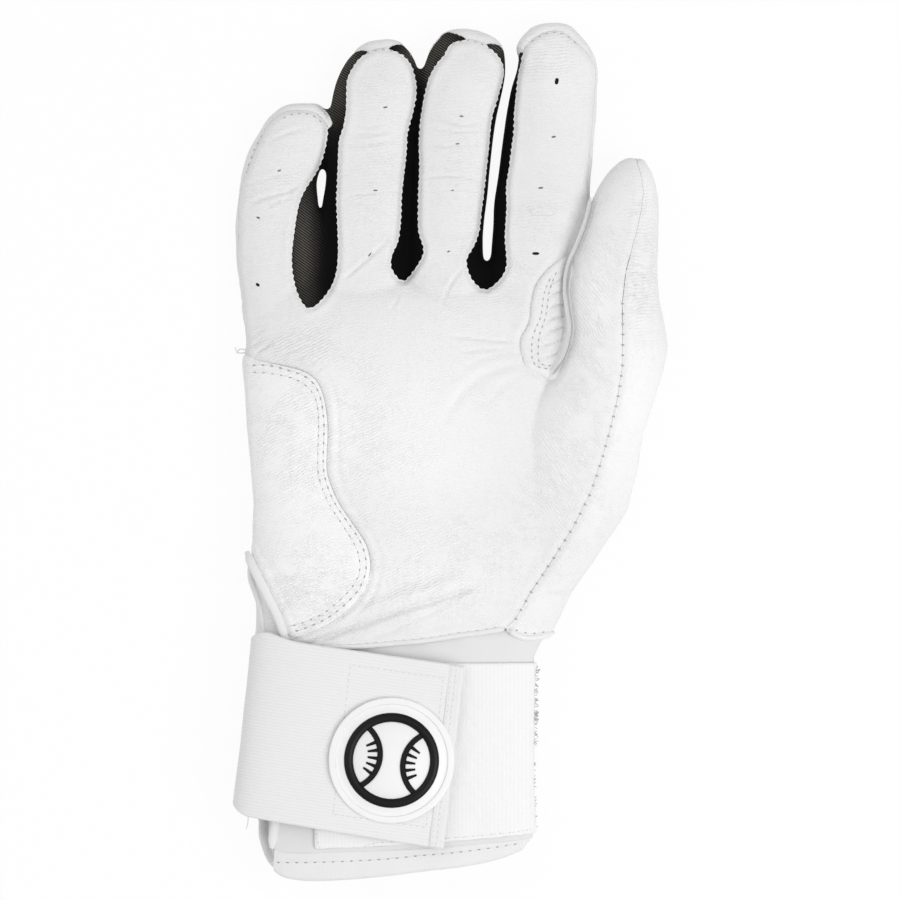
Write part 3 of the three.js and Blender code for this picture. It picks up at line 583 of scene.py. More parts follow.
wallZones = {
    "little_ring": {
        "top": [(368, 50.5), (352, 50), (338, 60), (322, 90), (319, 103), (326.5, 110.5), (331.8, 124),
                (327.5, 127.5), (318, 140), (312, 165), (298, 190), (290, 215), (286, 240), (286, 262),
                (292, 290), (302, 306), (308.5, 312), (320, 306), (335, 286), (343, 262), (343, 200),
                (345, 150), (351, 110), (352, 92), (353, 76), (362, 60)],
        "back": [(356, 55), (344, 56), (332, 78), (324, 100), (328, 112), (330, 126), (321, 150),
                 (313, 175), (310, 200), (309, 235), (309, 262), (312, 282), (319, 292), (326, 282),
                 (330, 262), (331, 230), (332, 200), (333, 160), (335, 120), (339, 95), (346, 72)],
    },
    "ring_middle": {
        "top": [(388, 47.5), (402, 42.5), (413, 50), (419.5, 60), (426, 52), (436, 38), (446.5, 29.5),
                (466, 38), (460, 48), (446, 60), (436, 76), (430, 92), (426, 115), (426, 160), (424, 205),
                (426, 240), (431, 254), (418, 276), (404, 285), (388, 277), (385, 256), (394, 236),
                (396, 200), (400, 160), (404, 120), (409, 92), (407, 74), (399, 57)],
        "back": [(398, 47), (405, 46), (412, 56), (419, 66), (428, 56), (438, 42), (450, 33), (455, 38),
                 (444, 50), (436, 62), (430, 78), (424, 98), (419, 122), (417, 160), (416, 200),
                 (414, 240), (412, 258), (408, 268), (403, 258), (402, 240), (403, 200), (406, 160),
                 (409, 120), (412, 92), (409, 72), (403, 58)],
    },
    "middle_index": {
        "top": [(486, 42.5), (501, 43.5), (509, 52), (513, 54), (521.8, 50.5), (525, 64), (523, 90),
                (519, 120), (514, 160), (510, 200), (510, 236), (512, 262), (502, 281), (486, 294),
                (470, 284), (461, 262), (470, 244), (476, 220), (480, 180), (484, 140), (488, 110),
                (494, 86), (499, 70), (494, 56)],
        "back": [(492, 46), (501, 47), (508, 58), (512, 60), (519, 56), (521, 68), (516, 90), (512, 120),
                 (508, 150), (503, 190), (499, 230), (496, 256), (486, 274), (477, 258), (480, 240),
                 (482, 215), (485, 180), (488, 145), (491, 118), (496, 100), (503, 76), (500, 60)],
    },
}
backSeamShift = 9.0       # mm that the thumb's seam on the back lies nearer the edge
scallop = {"depth": 0.4, "pitch": 1.9}

palmLine = outlineOf(littleFace + ringFace + middleFace + indexFace + thumbFace + thumbSeam + palmHem
                     + slitEdge + outerEdge)
sideLine = outlineOf([(660, 148), (637, 150), (636.5, 162), *thumbSeam, (505, 627), (500, 690), (760, 690),
                      (760, 148)], smooth=False)
zoneLines = {name: {face: outlineOf(points) for face, points in zone.items()} for name,
             zone in wallZones.items()}

heelEdge = [(238, 361), (262, 361.5), (287, 366), (305, 371.5), (316, 379.5), (322.5, 392), (326.5, 410),
            (328, 430), (327, 452), (328, 474), (338, 500), (352, 521), (366, 543), (370.5, 564),
            (366, 584), (355, 600), (334, 618), (312, 629), (292, 634), (283, 613), (270, 587), (259, 565),
            (252, 551), (240, 540), (236, 450)]
forkEdge = [(567, 256), (557, 261), (545, 272), (535.5, 286), (531, 304), (529, 322), (521, 338),
            (521, 352), (526, 366), (540, 374), (552, 380), (562, 362), (569, 345), (572, 329),
            (569.5, 309), (569, 288), (572, 266)]
heelLine = outlineOf(heelEdge, 0.7)
forkLine = outlineOf(forkEdge, 0.7)


def ripple(places, size, seed):
    # soft uneven waves of about this size, from a few crossed sines
    rng = np.random.default_rng(seed)
    out = np.zeros(len(places))
    for _ in range(9):
        direction = rng.normal(size=3)
        direction /= np.linalg.norm(direction)
        wave = 2 * np.pi / (size * rng.uniform(0.7, 1.6))
        out += np.sin(places @ direction * wave + rng.uniform(0, 2 * np.pi))
    return out / 3


# Soft shapes of the palm: centre in the photo, half sizes and height in millimetres
pads = {
    "thumb ball": ((566, 470), (15, 30), 1.5),
    "heel of the hand": ((292, 470), (13, 30), 1.1),
    "hollow of the palm": ((430, 440), (24, 30), -1.3),
    "under the little finger": ((282, 330), (9, 8), 0.5),
    "under the ring finger": ((360, 322), (10, 8), 0.5),
    "under the middle finger": ((445, 318), (10, 8), 0.5),
    "under the index finger": ((515, 318), (9, 9), 0.5),
    "little fingertip": ((287, 140), (8, 8), 0.3),
    "ring fingertip": ((381, 85), (9, 9), 0.4),
    "middle fingertip": ((463, 78), (9, 9), 0.4),
    "index fingertip": ((556, 90), (9, 11), 0.4),
}

# Creases: places in the photo, depth and half width in millimetres
creases = [
    ([(345, 131), (362, 133.5), (380, 132.5), (398, 129.5)], 0.42, 0.8),
    ([(340, 141), (360, 144), (378, 142.5), (399, 138)], 0.34, 0.8),
    ([(350, 123), (366, 126), (386, 124.5)], 0.24, 0.7),
    ([(337, 200), (352, 195), (372, 192), (400, 190.5)], 0.3, 0.7),
    ([(337, 284), (352, 271), (366, 259), (380, 246), (389, 234)], 0.42, 0.9),
    ([(421, 112), (436, 117), (455, 123), (470, 123.5), (486, 119)], 0.4, 0.8),
    ([(418, 123), (440, 128), (462, 131), (491, 129)], 0.3, 0.7),
    ([(418, 142), (445, 145), (488, 143.5)], 0.26, 0.7),
    ([(413, 178), (440, 175.5), (462, 176), (487, 181)], 0.34, 0.8),
    ([(428, 191), (450, 188.5), (470, 189.5), (484, 194)], 0.26, 0.7),
    ([(417, 230), (432, 234), (446, 241)], 0.25, 0.7),
    ([(266, 142), (279, 136), (294, 130), (316, 127)], 0.34, 0.9),
    ([(243, 206), (262, 197), (285, 191), (306, 181)], 0.5, 1.1),
    ([(262, 208), (280, 200), (300, 193)], 0.32, 0.8),
    ([(243, 184), (258, 181), (278, 174), (296, 170)], 0.25, 0.9),
    ([(512, 201), (524, 207), (538, 213.5), (558, 215)], 0.26, 0.6),
    ([(520, 198), (534, 205), (548, 212)], 0.2, 0.6),
    ([(506, 252), (519, 264), (541, 269.5)], 0.3, 0.7),
    ([(506, 262), (525, 271), (546, 273)], 0.26, 0.7),
    ([(444, 334), (470, 337), (500, 340), (522, 341)], 0.34, 0.8),
    ([(528, 364), (503, 366.5), (480, 376), (462, 391), (450, 408), (440, 428)], 0.22, 2.2),
    ([(527, 353), (503, 353), (478, 360), (455, 372)], 0.14, 1.4),
    ([(531, 371), (512, 378), (494, 393), (482, 412)], 0.13, 1.8),
    ([(452, 352), (480, 349), (516, 347)], 0.24, 0.8),
    ([(466, 264), (452, 280), (443, 302)], 0.32, 0.9),
    ([(455, 272), (446, 290), (440, 312)], 0.2, 0.7),
    ([(400, 286), (396, 300), (388, 314)], 0.2, 0.8),
    ([(253, 356), (263, 348), (277, 340)], 0.42, 0.7),
    ([(275, 357), (289, 352), (302, 348)], 0.3, 0.6),
    ([(289, 361), (303, 356), (312, 351)], 0.28, 0.6),
    ([(303, 366), (314, 361), (322, 355)], 0.26, 0.6),
    ([(314, 373), (328, 363)], 0.22, 0.6),
    ([(253, 316), (271, 314)], 0.2, 0.6),
    ([(252, 334), (266, 328)], 0.26, 0.6),
    ([(250, 345), (262, 340)], 0.3, 0.6),
    ([(627, 262), (637, 263), (648, 268)], 0.36, 0.6),
    ([(626, 270), (636, 272), (648, 277)], 0.36, 0.6),
    ([(625, 279), (634, 283), (647, 289)], 0.36, 0.6),
    ([(624, 290), (632, 295), (643, 303)], 0.32, 0.6),
    ([(624, 302), (631, 308), (638, 318)], 0.24, 0.6),
    ([(590, 284), (600, 293), (609, 305)], 0.2, 0.85),
    ([(584, 290), (596, 302), (607, 318)], 0.2, 0.85),
    ([(584, 303), (597, 316), (608, 332)], 0.2, 0.85),
    ([(587, 318), (598, 330), (609, 345)], 0.2, 0.85),
    ([(588, 334), (598, 345), (608, 358)], 0.2, 0.85),
    ([(582, 345), (593, 358), (603, 372)], 0.2, 0.85),
    ([(575, 355), (588, 370), (598, 386)], 0.2, 0.85),
    ([(568, 366), (580, 382), (592, 400)], 0.18, 0.6),
    ([(306, 643), (338, 632), (369, 621), (408, 607), (441, 597.5), (478, 584)], 1.1, 1.05),
    ([(300, 633), (333, 621), (364, 609), (402, 595), (436, 586), (470, 574)], -0.7, 3.2),
    ([(360, 640), (400, 624), (450, 600), (480, 578)], 0.3, 1.4),
    ([(547, 285), (556, 280), (565, 279)], 0.4, 0.7),
    ([(545, 297), (556, 292), (566, 291)], 0.5, 0.7),
    ([(544, 310), (556, 304.5), (567, 303)], 0.5, 0.75),
    ([(542, 322), (555, 317), (569, 314.5)], 0.6, 0.8),
    ([(540, 335), (554, 329), (569, 325)], 0.6, 0.8),
    ([(537, 347), (552, 342), (567, 338)], 0.55, 0.75),
    ([(539, 359), (552, 354.5), (562, 352)], 0.45, 0.7),
    ([(252, 355), (280, 357), (307, 363), (325, 375), (334, 392), (337.5, 412), (337.5, 450), (338, 472),
      (347, 497), (361, 518), (375, 541), (380, 564), (375, 588), (362, 607), (340, 626)], 0.26, 1.2),
]


pressed = {"deeper": 1.35, "narrower": 0.62, "fade": 7.0, "ridge": 0.22, "ridgeAt": 2.2, "ridgeWidth": 1.2}


def pressCreases(places, lines):
    # how deep the creases press at each place, between two low ridges
    out = np.zeros(len(places))
    for points, depth, width in lines:
        line = smoothLine(toMm(points), 1.0)
        width = pressed["narrower"] * width
        reach = width * 4
        near = np.all((places > line.min(axis=0) - reach) & (places < line.max(axis=0) + reach), axis=1)
        distance, along, _ = lineDistance(places[near], line)
        total = np.linalg.norm(np.diff(line, axis=0), axis=1).sum()
        fade = smoothStep(np.minimum(along, total - along), 0, min(pressed["fade"], total / 2.4))
        ridge = pressed["ridge"] * bell(distance - pressed["ridgeAt"] * width,
                                        pressed["ridgeWidth"] * width)
        out[near] += pressed["deeper"] * depth * fade * (bell(distance, width) - ridge)
    return out


def softSpot(places, centre, half):
    return np.exp(-(((places - toMm(centre)) / np.array(half)) ** 2).sum(axis=1))


# Sewn lines sink and the material beside them rounds up: depth, place and half width of each
sewn = {
    "leather": (0.42, 0, 0.7, 0.16, 2.0, 1.0),
    "knit": (0.34, 0, 0.7, 0.2, 2.2, 1.2),
    "patch": (0.4, 0.3, 0.6, 0.14, 2.4, 0.9),
}
lying = {"knitLower": 0.15, "slitLower": 1.5, "broadWaves": 0.13, "smallWaves": 0.05, "floorRadius": 0.5}


def sewnDip(distance, kind):
    sink, at, width, swell, swellAt, swellWidth = sewn[kind]
    return sink * bell(distance - at, width) - swell * bell(distance - swellAt, swellWidth)


print("shaping the skin")
normals = normalsOf(handCorners, handTriangles)
flat = handCorners[:, :2]
topSide = np.clip(normals[:, 2] * 5, -5, 5)
palmGap = within(flat, palmLine, scallop["depth"], scallop["pitch"])
palmPlain = within(flat, palmLine)
sideTop = within(flat, sideLine)
sideBack = within(flat - np.array([backSeamShift, 0]), sideLine)
upper = smoothStep(topSide, -2.0, 2.0)
sideField = sideTop * upper + sideBack * (1 - upper)
walls = {}
for name, zone in zoneLines.items():
    onTop = np.minimum(within(flat, zone["top"]), -palmGap)
    onBack = within(flat, zone["back"], scallop["depth"], scallop["pitch"])
    walls[name] = onTop * upper + onBack * (1 - upper)
wallField = np.max(list(walls.values()), axis=0)
palmField = np.minimum(palmPlain, topSide)

move = np.zeros(len(handCorners))
palmUp = smoothStep(topSide, 0, 2.5)
for centre, half, height in pads.values():
    move += height * softSpot(flat, centre, half) * smoothStep(topSide, 0, 3)
move += lying["broadWaves"] * ripple(handCorners, 23, 3) + lying["smallWaves"] * ripple(handCorners, 11, 4)
move -= pressCreases(flat, creases) * palmUp
seamGap = np.minimum(np.abs(palmField), np.abs(sideField))
move -= np.where(wallField < -1.0, sewnDip(seamGap, "leather"), 0)
move -= np.where(wallField < 0, sewnDip(np.maximum(-wallField, 0), "knit"), lying["knitLower"])
for outline in (heelLine, forkLine):
    move -= sewnDip(-within(flat, outline), "patch") * palmUp
# the back of the wrist opening lies lower than its bound edge
slitSide = [(200, 540), (249.5, 551), (256, 565), (267, 587), (280, 613), (289, 637), (292, 690),
            (200, 690)]
behind = within(flat, outlineOf(slitSide, smooth=False))
move -= lying["slitLower"] * smoothStep(behind, 0.2, 1.6) * upper

skinCorners = handCorners + normals * move[:, None]
height = skinCorners[:, 2]
skinCorners[:, 2] = 0.5 * (height + np.sqrt(height ** 2 + lying["floorRadius"]))
skinNormals = normalsOf(skinCorners, handTriangles)
# where fine wrinkles run, by direction: centre and half sizes in the photo, and strength
foldAreas = {
    "levelFolds": [((285, 190), (45, 70), 0.6), ((370, 170), (40, 100), 0.5), ((455, 170), (40, 100), 0.5),
                   ((545, 60), (30, 35), 1.0), ((540, 215), (35, 25), 1.0), ((638, 280), (16, 60), 1.3),
                   ((500, 290), (50, 35), 0.6), ((640, 220), (14, 30), 0.9), ((430, 600), (80, 40), 0.4)],
    "risingFolds": [((290, 440), (40, 80), 1.1), ((300, 345), (45, 20), 1.2), ((365, 440), (45, 90), 0.8),
                    ((345, 600), (80, 40), 0.8), ((470, 560), (90, 55), 0.6), ((300, 590), (25, 30), 1.2),
                    ((600, 520), (30, 60), 0.4)],
    "fallingFolds": [((590, 350), (26, 70), 1.3), ((565, 450), (30, 60), 1.1), ((600, 250), (18, 50), 0.9),
                     ((530, 520), (50, 70), 0.6), ((330, 610), (60, 30), 0.4)],
    # the leather is painted whiter over these: partly because it lies tight and smooth there, partly as
    # painted light where these areas stand in for more light
    "tautAndLit": [((430, 440), (95, 110), 1.0), ((640, 420), (34, 100), 0.8), ((335, 420), (22, 60), 0.6),
             ((290, 480), (42, 110), 0.5), ((560, 450), (32, 60), 0.4), ((596, 300), (20, 80), 0.8),
             ((410, 585), (100, 40), 0.6), ((556, 60), (34, 40), 0.6), ((645, 190), (14, 34), 0.6)],
    # the knit is painted lighter here: partly painted light where its walls face the lamps, partly where it
    # is drawn tight and its ribs open
    "litAndStretched": [((303, 245), (13, 62), 1.3), ((337, 85), (13, 32), 1.1), ((350, 56), (14, 14), 1.1),
                  ((410, 54), (12, 13), 1.1), ((440, 44), (18, 18), 1.1), ((428, 68), (9, 16), 0.9),
                  ((496, 48), (14, 11), 1.0), ((516, 60), (7, 12), 0.8), ((322, 110), (10, 14), 1.0)],
}
folds = {}
for key, areas in foldAreas.items():
    strength = np.full(len(flat), 0.0 if key in ("tautAndLit", "litAndStretched") else 0.22)
    for centre, (halfX, halfY), most in areas:
        strength += most * softSpot(flat, centre, (halfX * photo["mmPerPixel"],
                                                   halfY * photo["mmPerPixel"]))
    folds[key] = np.clip(strength, 0, 1.3)
skin = Skin(skinCorners, handTriangles, {
    "normal": skinNormals, "wall": wallField, "side": sideField, "palm": palmField, "top": topSide,
    **folds, **{f"wall {name}": field for name, field in walls.items()},
})
trims = []
for line in ([(200, 641), (262, 641), (283, 638), (290, 637), (300, 641), (320, 645.6), (355, 644.6),
              (393, 641.6), (425, 638.6), (458, 633.6), (482, 630.6), (505, 626.6), (513, 632), (524, 637),
              (537, 636.5), (552, 633.5), (600, 628)], [(200, 641), (400, 640), (500, 634), (524, 637),
                                                        (552, 634), (600, 628)]):
    area = outlineOf(line + [(600, 720), (200, 720)], smooth=False)
    trims.append(-within(skin.corners[:, :2], area))
skin = skin.split(trims[0] * upper + trims[1] * (1 - upper))[0]
# Knitted panel over the knuckles, in millimetres
knuckles = {"centre": (-12, 34), "half": (37, 8), "corner": 2.6, "lowered": 0.25, "rib": 1.6,
            "ribHeight": 0.12}
leatherWall = 0.8


def roundedRect(centreX, centreY, halfX, halfY, corner):
    turn = np.linspace(0, 2 * np.pi, 64, endpoint=False)
    x = centreX + np.sign(np.cos(turn)) * (halfX - corner) + corner * np.cos(turn)
    y = centreY + np.sign(np.sin(turn)) * (halfY - corner) + corner * np.sin(turn)
    return evenLine(np.stack([x, y], axis=1), 0.7, closed=True)[0]


# each panel stops half a seam short of the line, so that a thin gap marks the seam
seamHalf = 0.04
hide = skin.split(skin.values["wall"])[1]
sidePart = hide.split(hide.values["side"] - seamHalf)[0]
rest = hide.split(-hide.values["side"] - seamHalf)[0]
palmPart = rest.split(rest.values["palm"] - seamHalf)[0]
backPart = rest.split(-rest.values["palm"] - seamHalf)[0]
knuckleLine = roundedRect(*knuckles["centre"], *knuckles["half"], knuckles["corner"])
backPart.values["knuckle"] = np.minimum(within(backPart.corners[:, :2], knuckleLine),
                                        -backPart.values["top"])
knucklePart, backPart = backPart.split(backPart.values["knuckle"])
dip = -knuckles["lowered"] - 0.25 * bell(knucklePart.values["knuckle"], 0.8)
knuckleRibs = knuckles["ribHeight"] * np.abs(np.cos(np.pi * knucklePart.corners[:, 0] / knuckles["rib"]))
knucklePiece = knucklePart.shell("knuckle_stretch_knit", dip + knuckleRibs, -0.9)
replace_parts(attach(knucklePiece, "glove"), "knuckle_stretch_panel")
smoothShading(knucklePiece, 60)
palmPiece = palmPart.shell("palm_leather", 0.0, -leatherWall)
backPiece = backPart.shell("back_leather", -0.3 * bell(backPart.values["knuckle"], 0.6), -leatherWall)
sidePiece = sidePart.shell("thumb_side_leather", 0.0, -leatherWall)
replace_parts(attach(palmPiece, "glove"), "palm_panel")
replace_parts(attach(backPiece, "glove"), "back_panel")
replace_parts(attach(sidePiece, "glove"), "thumb_side_panel")
for piece in (palmPiece, backPiece, sidePiece):
    smoothShading(piece, 50)
for name in walls:
    part = skin.split(skin.values[f"wall {name}"] + 1.2)[0]
    lift = np.where(part.values["wall"] > 0, -0.1, -0.7)
    wall = part.shell(f"knit_{name}", lift, lift - 0.5)
    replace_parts(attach(wall, "glove"), f"sidewall_{name}")
    smoothShading(wall, 50)
print("panels", len(palmPart.triangles), len(backPart.triangles), len(sidePart.triangles))


# Things that lie on the skin

class Surface:
    # finds the place on a skin above or below a point of the photo
    def __init__(self, corners, triangles):
        self.tree = BVHTree.FromPolygons(corners.tolist(), triangles.tolist())

    def drop(self, places, upwards=False, fill=False):
        sign = -1 if upwards else 1
        out = []
        for x, y in places:
            hit, normal, _, _ = self.tree.ray_cast(Vector((x, y, 90 * sign)), Vector((0, 0, -sign)))
            out.append((*hit, *normal) if hit else (x, y, np.nan, 0, 0, sign))
        out = np.array(out)
        known = ~np.isnan(out[:, 2])
        if fill and known.any() and not known.all():
            rows = np.arange(len(out))
            out[:, 2] = np.interp(rows, rows[known], out[known, 2])
        return out[:, :3], out[:, 3:]


def overlay(name, outline, base, thickness, rows, groove):
    # a sewn-on patch: its edge rolls down and each stitch row pulls a groove
    part = skin.kept((skin.values["top"][skin.triangles] > -0.4).all(axis=1))
    part.values["patch"] = np.minimum(within(part.corners[:, :2], outline), part.values["top"] + 0.3)
    part = part.split(part.values["patch"])[0]
    field = part.values["patch"]
    outer = base + thickness - 0.35 * bell(field, 0.55)
    for place in rows:
        outer -= groove * bell(field - place, 0.4)
    piece = part.shell(name, outer, base - 0.1)
    smoothShading(piece, 50)
    return piece


print("patches")
# rest above the leather, thickness, stitch rows from the edge and depth of their grooves, in millimetres
patches = {
    "heel": {"base": 0.1, "thickness": 0.85, "rows": (0.9, 2.8), "groove": 0.18},
    "fork": {"base": 0.05, "thickness": 0.8, "rows": (3.0, 4.4), "groove": 0.25},
}
heelPiece = overlay("heel_patch_leather", heelLine, **patches["heel"])
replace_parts(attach(heelPiece, "glove"), "heel_patch")
forkPiece = overlay("thumb_fork_leather", forkLine, **patches["fork"])
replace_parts(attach(forkPiece, "glove"), "thumb_fork_patch")

handTop = Surface(skin.corners, skin.triangles)

# Cuff: rows of y, left edge, right edge in the photo, thickness and height of the middle in millimetres
cuff = {
    "rows": [(626, 262.5, 538, 17.6, 10.9), (637, 260, 543, 18.0, 10.9), (646, 259, 538, 18.0, 10.8),
             (655, 258, 534, 17.8, 10.8), (690, 256, 530.5, 17.0, 10.7), (740, 255.5, 529.5, 16.8, 10.6),
             (800, 256, 530, 16.8, 10.6), (835, 256.5, 532, 16.8, 10.6), (885, 257, 535, 16.8, 10.6)],
    "sides": 280,
    "stepY": 0.7,        # mm
    "square": 2.7,
    "wall": 1.5,
    "waves": [(0.22, 19, 7), (0.08, 7, 8)],     # height, size and seed of its unevenness
    "hemProud": 0.45,
    "gussetGap": 0.4,
    "knit": 0.7,
}
lowerEdge = [(257, 819), (257, 834), (259.5, 846), (264, 858), (272, 868), (285, 875.5), (313, 878.5),
             (360, 876), (415, 869.8), (480, 861.3), (518, 850), (527, 842.5), (533, 833), (535, 815)]
hemTop = [(266.5, 690), (266.5, 800), (267, 828), (270, 841), (278, 848.5), (300, 850.5), (350, 849),
          (400, 847), (435, 845), (490, 840.5), (530, 837), (560, 835)]
slitLow = [(249.5, 551), (256, 565), (267, 587), (280, 613), (288, 636), (292, 660), (291, 700),
           (286, 750), (280, 800), (276.5, 832), (275, 846), (274, 866), (273, 890)]


def cuffForm():
    rows = np.array(cuff["rows"], dtype=float)
    top, low = toMm([(0, rows[0, 0]), (0, rows[-1, 0])])[:, 1]
    ys = np.arange(low, top, cuff["stepY"])
    tableY = toMm(np.stack([rows[:, 1], rows[:, 0]], axis=1))[::-1, 1]
    left = np.interp(ys, tableY, toMm(rows[:, [1, 0]])[::-1, 0])
    right = np.interp(ys, tableY, toMm(rows[:, [2, 0]])[::-1, 0])
    thick = np.interp(ys, tableY, rows[::-1, 3])
    middle = np.interp(ys, tableY, rows[::-1, 4])
    across, up = roundedSquare(cuff["sides"], cuff["square"])
    rings = [np.stack([(l + r) / 2 + across * (r - l) / 2, np.full_like(across, y), m + up * t / 2], axis=1)
             for y, l, r, t, m in zip(ys, left, right, thick, middle)]
    # even spacing round each ring, so that the ribs and the cut lines stay crisp
    rings = [evenLine(ring, np.linalg.norm(np.diff(np.vstack([ring, ring[:1]]), axis=0),
                                           axis=1).sum() / cuff["sides"],
                      closed=True)[0][:cuff["sides"]] for ring in rings]
    corners, faces = loftRings(rings, False)
    faces = np.array(faces)
    triangles = np.concatenate([faces[:, [0, 2, 1]], faces[:, [0, 3, 2]]])
    return corners, triangles


print("cuff")
cuffCorners, cuffTriangles = cuffForm()
cuffNormals = normalsOf(cuffCorners, cuffTriangles)
if (cuffNormals[:, 2] * (cuffCorners[:, 2] - 10.7)).sum() < 0:
    cuffTriangles = cuffTriangles[:, ::-1]
    cuffNormals = -cuffNormals
uneven = sum(height * ripple(cuffCorners, size, seed) for height, size, seed in cuff["waves"])
cuffCorners = cuffCorners + cuffNormals * uneven[:, None]
cuffNormals = normalsOf(cuffCorners, cuffTriangles)
flat = cuffCorners[:, :2]
cuffArea = np.concatenate([toMm([(560, 560), (200, 560), (200, 800)]), smoothLine(toMm(lowerEdge), 0.8),
                           toMm([(560, 800)])])
hemArea = np.concatenate([smoothLine(toMm(hemTop), 1.0), toMm([(560, 900), (225, 900), (225, 690)])])
slitArea = np.concatenate([smoothLine(toMm(slitLow), 1.0), toMm([(180, 890), (180, 551)])])
cuffArea, hemArea, slitArea = (evenLine(area, 0.6, closed=True)[0] for area in (cuffArea, hemArea, slitArea))
cuffTop = np.clip(cuffNormals[:, 2] * 5, -5, 5)
cuffSkin = Skin(cuffCorners, cuffTriangles, {
    "normal": cuffNormals,
    "top": cuffTop,
    "edge": within(flat, cuffArea),
    "hem": within(flat, hemArea),
    "slit": np.minimum(within(flat, slitArea), cuffTop + 1.0),
})
cuffSkin = cuffSkin.split(cuffSkin.values["edge"])[0]
cuffOpen = cuffSkin.split(-cuffSkin.values["slit"])[0]
hemPart, wallPart = cuffOpen.split(cuffOpen.values["hem"])
palmWall, backWall = wallPart.split(wallPart.values["top"] + 0.5)
palmCuff = palmWall.shell("cuff_palm_fabric", 0.0, -cuff["wall"])
backCuff = backWall.shell("cuff_back_fabric", 0.0, -cuff["wall"])
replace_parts(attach(palmCuff, "glove"), "cuff_palm_panel")
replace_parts(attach(backCuff, "glove"), "cuff_back_panel")
# folded tape of the hem: rounded over the lower edge, drawn in along its stitching
hem = {"edgeRadius": 1.2, "edgeDrop": 1.15, "topDip": 0.25, "stitchDip": 0.3, "stitchAt": 1.5, "inside": 0.4}
roll = hem["edgeDrop"] * roundedEdge(hemPart.values["edge"], hem["edgeRadius"])
hemField = hemPart.values["hem"]
outer = cuff["hemProud"] - roll - hem["topDip"] * bell(hemField, 0.5)
outer -= hem["stitchDip"] * bell(hemField - hem["stitchAt"], 0.45)
inner = -cuff["wall"] - hem["inside"] + roll
hemPiece = hemPart.shell("cuff_hem_tape", outer, inner)
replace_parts(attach(hemPiece, "glove"), "cuff_hem")
# gusset inside the wrist opening
gussetSkin = Skin(cuffCorners, cuffTriangles, {"normal": cuffNormals})
reach = toMm((345, 0))[0] - cuffCorners[:, 0]
gussetSkin = gussetSkin.split(np.minimum(reach, within(flat, cuffArea) - 2.4))[0]
gussetTop = -cuff["wall"] - cuff["gussetGap"]
gussetPiece = gussetSkin.shell("cuff_gusset_knit", gussetTop, gussetTop - cuff["knit"])
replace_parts(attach(gussetPiece, "glove"), "cuff_gusset")
for piece in (palmCuff, backCuff, hemPiece, gussetPiece):
    smoothShading(piece, 50)
cuffTopSurface = Surface(cuffSkin.corners, cuffSkin.triangles)


def tube(name, path, sides, width, height, up=None):
    # an oval tube along a path, flat side against the surface
    direction = unit(np.gradient(path, axis=0))
    side = unit(np.cross([0.0, 0.0, 1.0] if up is None else up, direction))
    lift = np.cross(direction, side)
    turn = np.linspace(0, 2 * np.pi, sides, endpoint=False)
    rings = [centre + np.outer(np.cos(turn), s) * w / 2 + np.outer(np.sin(turn), l) * h / 2
             for centre, s, l, w, h in zip(path, side, lift, width, height)]
    corners, faces = loftRings(rings)
    piece = makeObject(name, corners, [face[::-1] for face in faces])
    smoothShading(piece, 60)
    return piece


def joinPieces(name, pieces):
    bpy.ops.object.select_all(action="DESELECT")
    for piece in pieces:
        piece.select_set(True)
    bpy.context.view_layer.objects.active = pieces[0]
    bpy.ops.object.join()
    pieces[0].name = name
    return pieces[0]


# Binding of the wrist opening, folded over the edge of the leather and of the cuff
print("binding")
bound = evenLine(smoothLine(toMm(slitLow[:-2]), 0.8), 0.8)[0]
lip = evenLine(smoothLine(toMm([(252, 556), (250.3, 567), (250.5, 578), (255, 591), (259.5, 604),
                                (262, 618), (264, 634), (265.5, 650)]), 0.8), 0.8)[0]
handEnd = toMm([(0, 636)])[0, 1]
# shift of the place whose height it takes, depth sunk below that, width and height of each tape
tapes = []
for line, shift, sunk, width, height in ((bound - [0.9, 0], 2.2, 0.25, 2.9, 1.9),
                                         (lip, 0.9, 0.9, 1.9, 2.4)):
    onHand, _ = handTop.drop(line + np.array([shift, 0]), fill=True)
    onCuff, _ = cuffTopSurface.drop(line + np.array([shift, 0]), fill=True)
    heights = smoothed(np.where(line[:, 1] > handEnd, onHand[:, 2], onCuff[:, 2]), 12) - sunk
    ends = np.clip(np.minimum(np.arange(len(line)), np.arange(len(line))[::-1]) / 3, 0.3, 1) ** 0.5
    tapes.append(tube("binding", np.column_stack([line, heights]), 14, width * ends, height * ends))
bindingPiece = joinPieces("opening_binding_tape", tapes)
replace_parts(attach(bindingPiece, "glove"), "opening_binding")

# Loop panel on the cuff, with upright ribs
loop = {
    "outline": [(315, 661), (570, 661), (570, 828), (535, 831), (500, 834.5), (445, 839), (380, 843),
                (315, 846)],
    "rib": 1.22,
    "ribHeight": 0.018,
    "base": 0.25,
    "thick": 1.0,
}
part = cuffSkin.split(cuffSkin.values["top"] + 0.6)[0]
loopLine = outlineOf(loop["outline"], 0.6, smooth=False)
part.values["patch"] = within(part.corners[:, :2], loopLine)
part = part.split(part.values["patch"])[0]
phase = 2 * np.pi * part.corners[:, 0] / loop["rib"] + 0.5 * ripple(part.corners, 25, 9)
ribs = loop["ribHeight"] * np.cos(phase)
ribs = (ribs + 0.05 * ripple(part.corners, 3, 10)) * smoothStep(part.values["patch"], 0.1, 0.9)
outer = loop["base"] + loop["thick"] + ribs - 0.4 * bell(part.values["patch"], 0.4)
loopPiece = part.shell("loop_pile_panel", outer, loop["base"])
smoothShading(loopPiece, 60)
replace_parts(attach(loopPiece, "glove"), "loop_panel")

